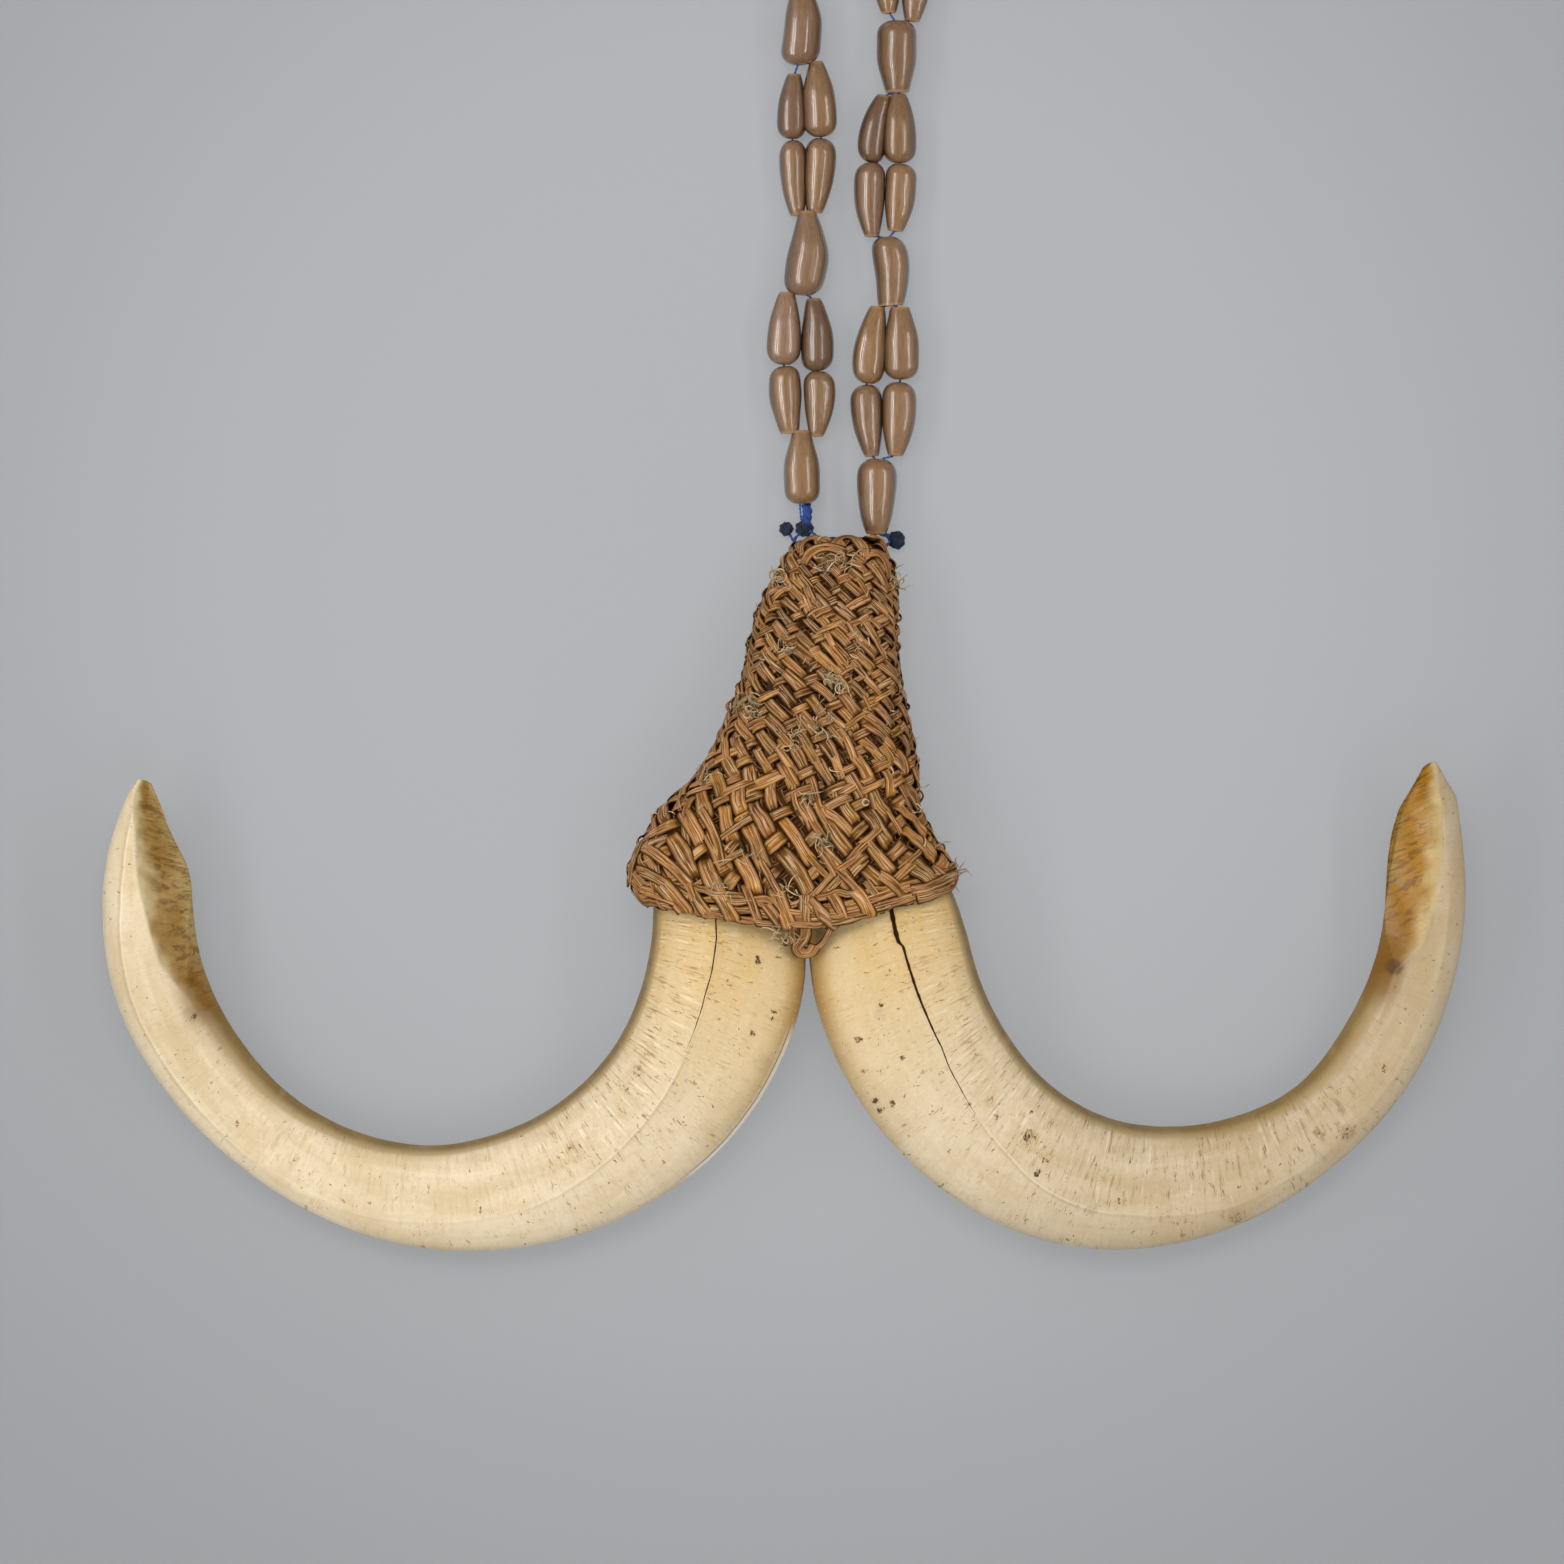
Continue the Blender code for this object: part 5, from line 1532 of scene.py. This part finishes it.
def make_seed(name, row, finish):
    """A seed with a cut narrow end and a bore through it, bowed and leaning as its own."""
    place, narrow, wide, width, tip_width, bow, lean, tone, mauve = row
    dice = random.Random(name)
    bore = SINGLE_BORE if place == "single" else PAIR_BORE
    start, end = np.array((*narrow, width / 2)), np.array((*wide, width / 2))
    length = np.linalg.norm(end - start)
    along = (end - start) / length
    side = np.array((along[1], -along[0], 0.0))
    if side[0] < 0:
        side = -side
    up = np.array((0.0, 0.0, 1.0))
    shares = (1 - np.cos(np.linspace(0.0, math.pi, SEED_ALONG))) / 2
    shares = 0.55 * shares + 0.45 * np.linspace(0.0, 1.0, SEED_ALONG)
    turns = np.arange(SEED_AROUND) * math.tau / SEED_AROUND
    facets = 0.024 * np.cos(3 * turns + dice.uniform(0.0, 6.0))
    facets = facets + 0.012 * np.cos(6 * turns + dice.uniform(0.0, 6.0))
    outline = [(share, seed_radius(share, width, tip_width), 0.0) for share in shares]
    # The cut face, then the bore, back to the start.
    outline = [(0.0, bore, 1.0), (0.0, (bore + tip_width / 2) / 2, 1.0)] + outline
    outline += [(0.992, width * 0.14, 0.0), (0.975, bore, 0.0), (0.5, bore, 0.0)]
    phase, shift = dice.uniform(0.0, 6.0), 13.0 * dice.random()
    rings, lays, tips = [], [], []
    for share, radius, cut in outline:
        bend = bow * math.sin(math.pi * share) + lean * (rise(share, 0.35, 0.9) - 0.5 * share)
        if radius <= bore:
            bend *= 0.6
        skin = radius > bore * 1.3 and not cut
        lumps = 0.02 * np.sin(2 * turns + 7 * share + phase) * math.sin(5 * share + 2 * phase)
        spread = radius * (1 + ((facets + lumps + 0.012 * math.sin(9 * share + phase)) if skin else 0.0))
        centre = start + along * length * share + side * bend
        ring = centre + side * (np.cos(turns) * spread)[:, None] + up * (np.sin(turns) * spread)[:, None]
        ring[:, 2] = np.maximum(ring[:, 2], LOWEST)
        rings.append(ring)
        lays.append(np.stack((np.full(SEED_AROUND, share * length), np.cos(turns) * radius + 7.0 * tone,
                              np.sin(turns) * radius), axis=1))
        tips.append(np.full(SEED_AROUND, 1.0 if cut else float(1 - rise(share, 0.0, 0.07))))
    bundle = Bundle()
    bundle.add(np.array(rings), loop=True, lay=np.array(lays) + shift, tip=np.array(tips), tone=tone,
               mauve=mauve, flank=np.abs(np.cos(turns))[None, :])
    piece = bundle.make(name + "_polished", finish)
    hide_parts(name)
    return piece


# Knots

# Legs and the thick twisted end that belong to each knot: radius and places as x, y, z.
KNOT_ENDS = {
    "knot_left_outer": ((0.24, ((0.3, 58.4, 1.0), (0.9, 57.6, 1.5), (1.6, 56.4, 2.2))),),
    "knot_left_inner": (
        (0.78, ((3.5, 62.5, 2.2), (3.7, 61.3, 1.9), (3.6, 60.3, 1.8), (3.5, 59.2, 1.6))),
        (0.24, ((3.4, 58.8, 1.6), (4.4, 58.0, 2.2), (5.1, 57.4, 2.8), (5.2, 56.5, 3.2))),
        (0.24, ((3.0, 58.6, 1.4), (2.4, 57.8, 1.8), (1.8, 57.2, 2.2), (1.7, 56.4, 2.4))),
    ),
    "knot_right": (
        (0.24, ((17.2, 56.9, 1.6), (16.5, 56.0, 2.2), (16.0, 55.2, 2.6))),
        (0.2, ((14.8, 57.8, 3.0), (14.0, 57.5, 2.6), (13.6, 57.2, 2.6))),
        (0.42, ((15.9, 57.9, 2.0), (16.5, 57.6, 1.8), (17.2, 57.0, 1.5))),
    ),
    "knot_loop": (),
}


LUMP_SIDES, LUMP_RINGS = 22, 16
WINDINGS = 6
WINDING_LOWEST = 0.5


def make_knot(name, finish):
    """Yarn tied round itself: windings over a lump that fills the knot's solid, and loose ends."""
    place, half = KNOTS[name]
    place, half = np.array(place), np.array(half)
    dice = random.Random(name)
    bundle = Bundle()
    turns = np.linspace(0.0, math.tau, LUMP_SIDES, endpoint=False)
    rings = []
    for lean in np.linspace(0.05, math.pi - 0.05, LUMP_RINGS):
        dents = 1 + 0.22 * np.sin(3 * turns + 4 * lean) + 0.12 * np.sin(5 * turns - 6 * lean)
        ring = np.stack((np.cos(turns) * math.sin(lean) * dents, np.sin(turns) * math.sin(lean) * dents,
                         np.full(LUMP_SIDES, math.cos(lean))), axis=1)
        rings.append(ring * half * 0.72 + place)
    rings = np.array(rings)
    bundle.add(rings, lay=rings, tone=0.0)
    for winding in range(WINDINGS):
        t = np.linspace(0.0, math.tau, 60, endpoint=False)
        tilt = winding * math.pi / 3 + dice.uniform(-0.3, 0.3)
        flat = np.stack((np.cos(t), np.sin(t) * math.cos(tilt), np.sin(t) * math.sin(tilt)), axis=1)
        turn = dice.uniform(0.0, 3.0)
        cos, sin = math.cos(turn), math.sin(turn)
        flat[:, :2] = flat[:, :2] @ np.array(((cos, sin), (-sin, cos)))
        off = np.array([dice.uniform(-0.25, 0.25) for _ in range(3)]) * half
        path = flat * (half * dice.uniform(0.5, 0.8)) + place + off
        path[:, 2] = np.maximum(path[:, 2], WINDING_LOWEST)
        rings = sweep(path, round_section(9), 0.4 * (1 + 0.2 * np.sin(t * 7)), 0.36, loop=True)
        bundle.add(rings, loop=True, lay=lay_along(path, 9, np.arange(9) * 0.2), tone=0.0)
    for radius, places in KNOT_ENDS[name]:
        path = even_path(places, 0.2)
        count = len(path)
        side, up = frames_along(path)
        for ply in range(2):
            turn = np.arange(count) * 0.62 + ply * math.pi
            strand = path + (side * np.cos(turn)[:, None] + up * np.sin(turn)[:, None]) * radius * 0.5
            bundle.add(sweep(strand, round_section(7), radius * 0.6, radius * 0.6),
                       lay=lay_along(strand, 7, np.arange(7) * 0.15), tone=1.0)
    piece = bundle.make(name + "_tied", finish)
    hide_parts(name)
    return piece


# The making, camera and cords first

make_camera()
make_light()
make_floor()

thread_blue = yarn_finish("thread_blue", srgb(70, 120, 205), srgb(24, 56, 130))
knot_navy = yarn_finish("knot_navy", srgb(46, 60, 84), srgb(18, 24, 36), srgb(28, 60, 130))
polished_seed = seed_finish()
# Each kind of cane: light, dark, blush and olive tones.
CANE_TONES = ((196, 132, 54), (88, 46, 4), (178, 116, 64), (108, 76, 14))
# Darker copies of the cane's tones, for the strips below the plait: painted shade.
SHADED_PACKING_TONES = ((104, 58, 16), (56, 26, 4), (104, 58, 22), (76, 48, 10))
FIBRE_TONES = ((206, 190, 150), (150, 124, 80), (188, 170, 132), (140, 118, 74))
cane = cane_finish("split_cane", CANE_TONES, 0.4, 0.1)
shaded_packing = cane_finish("cane_packing_painted_shade", SHADED_PACKING_TONES, 0.7, 0.05)
fibre = cane_finish("frayed_fibre", FIBRE_TONES, 0.6, 0.3)
# The inside of the plait is near black: painted shade.
core_shade_finish = plain_finish("plait_inside_painted_shade", srgb(28, 10, 1), srgb(50, 24, 5), 0.9, 1.4)

strands = {"left": SEEDS_LEFT, "right": SEEDS_RIGHT}
knots = {name: make_knot(name, knot_navy) for name in KNOTS}
seeds = {}
for side, rows in strands.items():
    for number, row in enumerate(rows, 1):
        name = f"seed_{side}_{number:02d}"
        seeds[name] = make_seed(name, row, polished_seed)
for side, rows in strands.items():
    for place in ("outer", "inner"):
        name = f"thread_{side}_{place}"
        thread, line = make_thread(name, rows, thread_blue)
        strung = [seeds[f"seed_{side}_{number:02d}"] for number, row in enumerate(rows, 1)
                  if row[0] == place or (row[0] == "single" and place == "outer")]
        tied = {"thread_left_outer": ["knot_left_outer", "knot_loop"],
                "thread_left_inner": ["knot_left_inner"], "thread_right_outer": ["knot_right"]}
        strung += [knots[knot] for knot in tied.get(name, [])]

# Each facet's stains at its edge, heart and rim, then where the heart's gives way to the rim's,
# and the slope and stretch of its streaks.
TUSK_STAINS = {
    "tusk_left": (((172, 146, 92), (150, 114, 50), (212, 192, 148)), 0.6, 0.1, (0.7, 0.35, 1.0)),
    "tusk_right": (((158, 126, 62), (168, 116, 2), (206, 182, 130)), 0.45, 0.5, (0.95, 0.3, 1.0)),
}
for name, stained in TUSK_STAINS.items():
    make_tusk(name, ivory(name, *stained))
make_core(core_shade_finish)
make_packing(shaded_packing)
make_plait(cane)
make_rim(cane)
make_laid_strips(cane)
make_rim_knots(cane)
make_fibres(fibre)
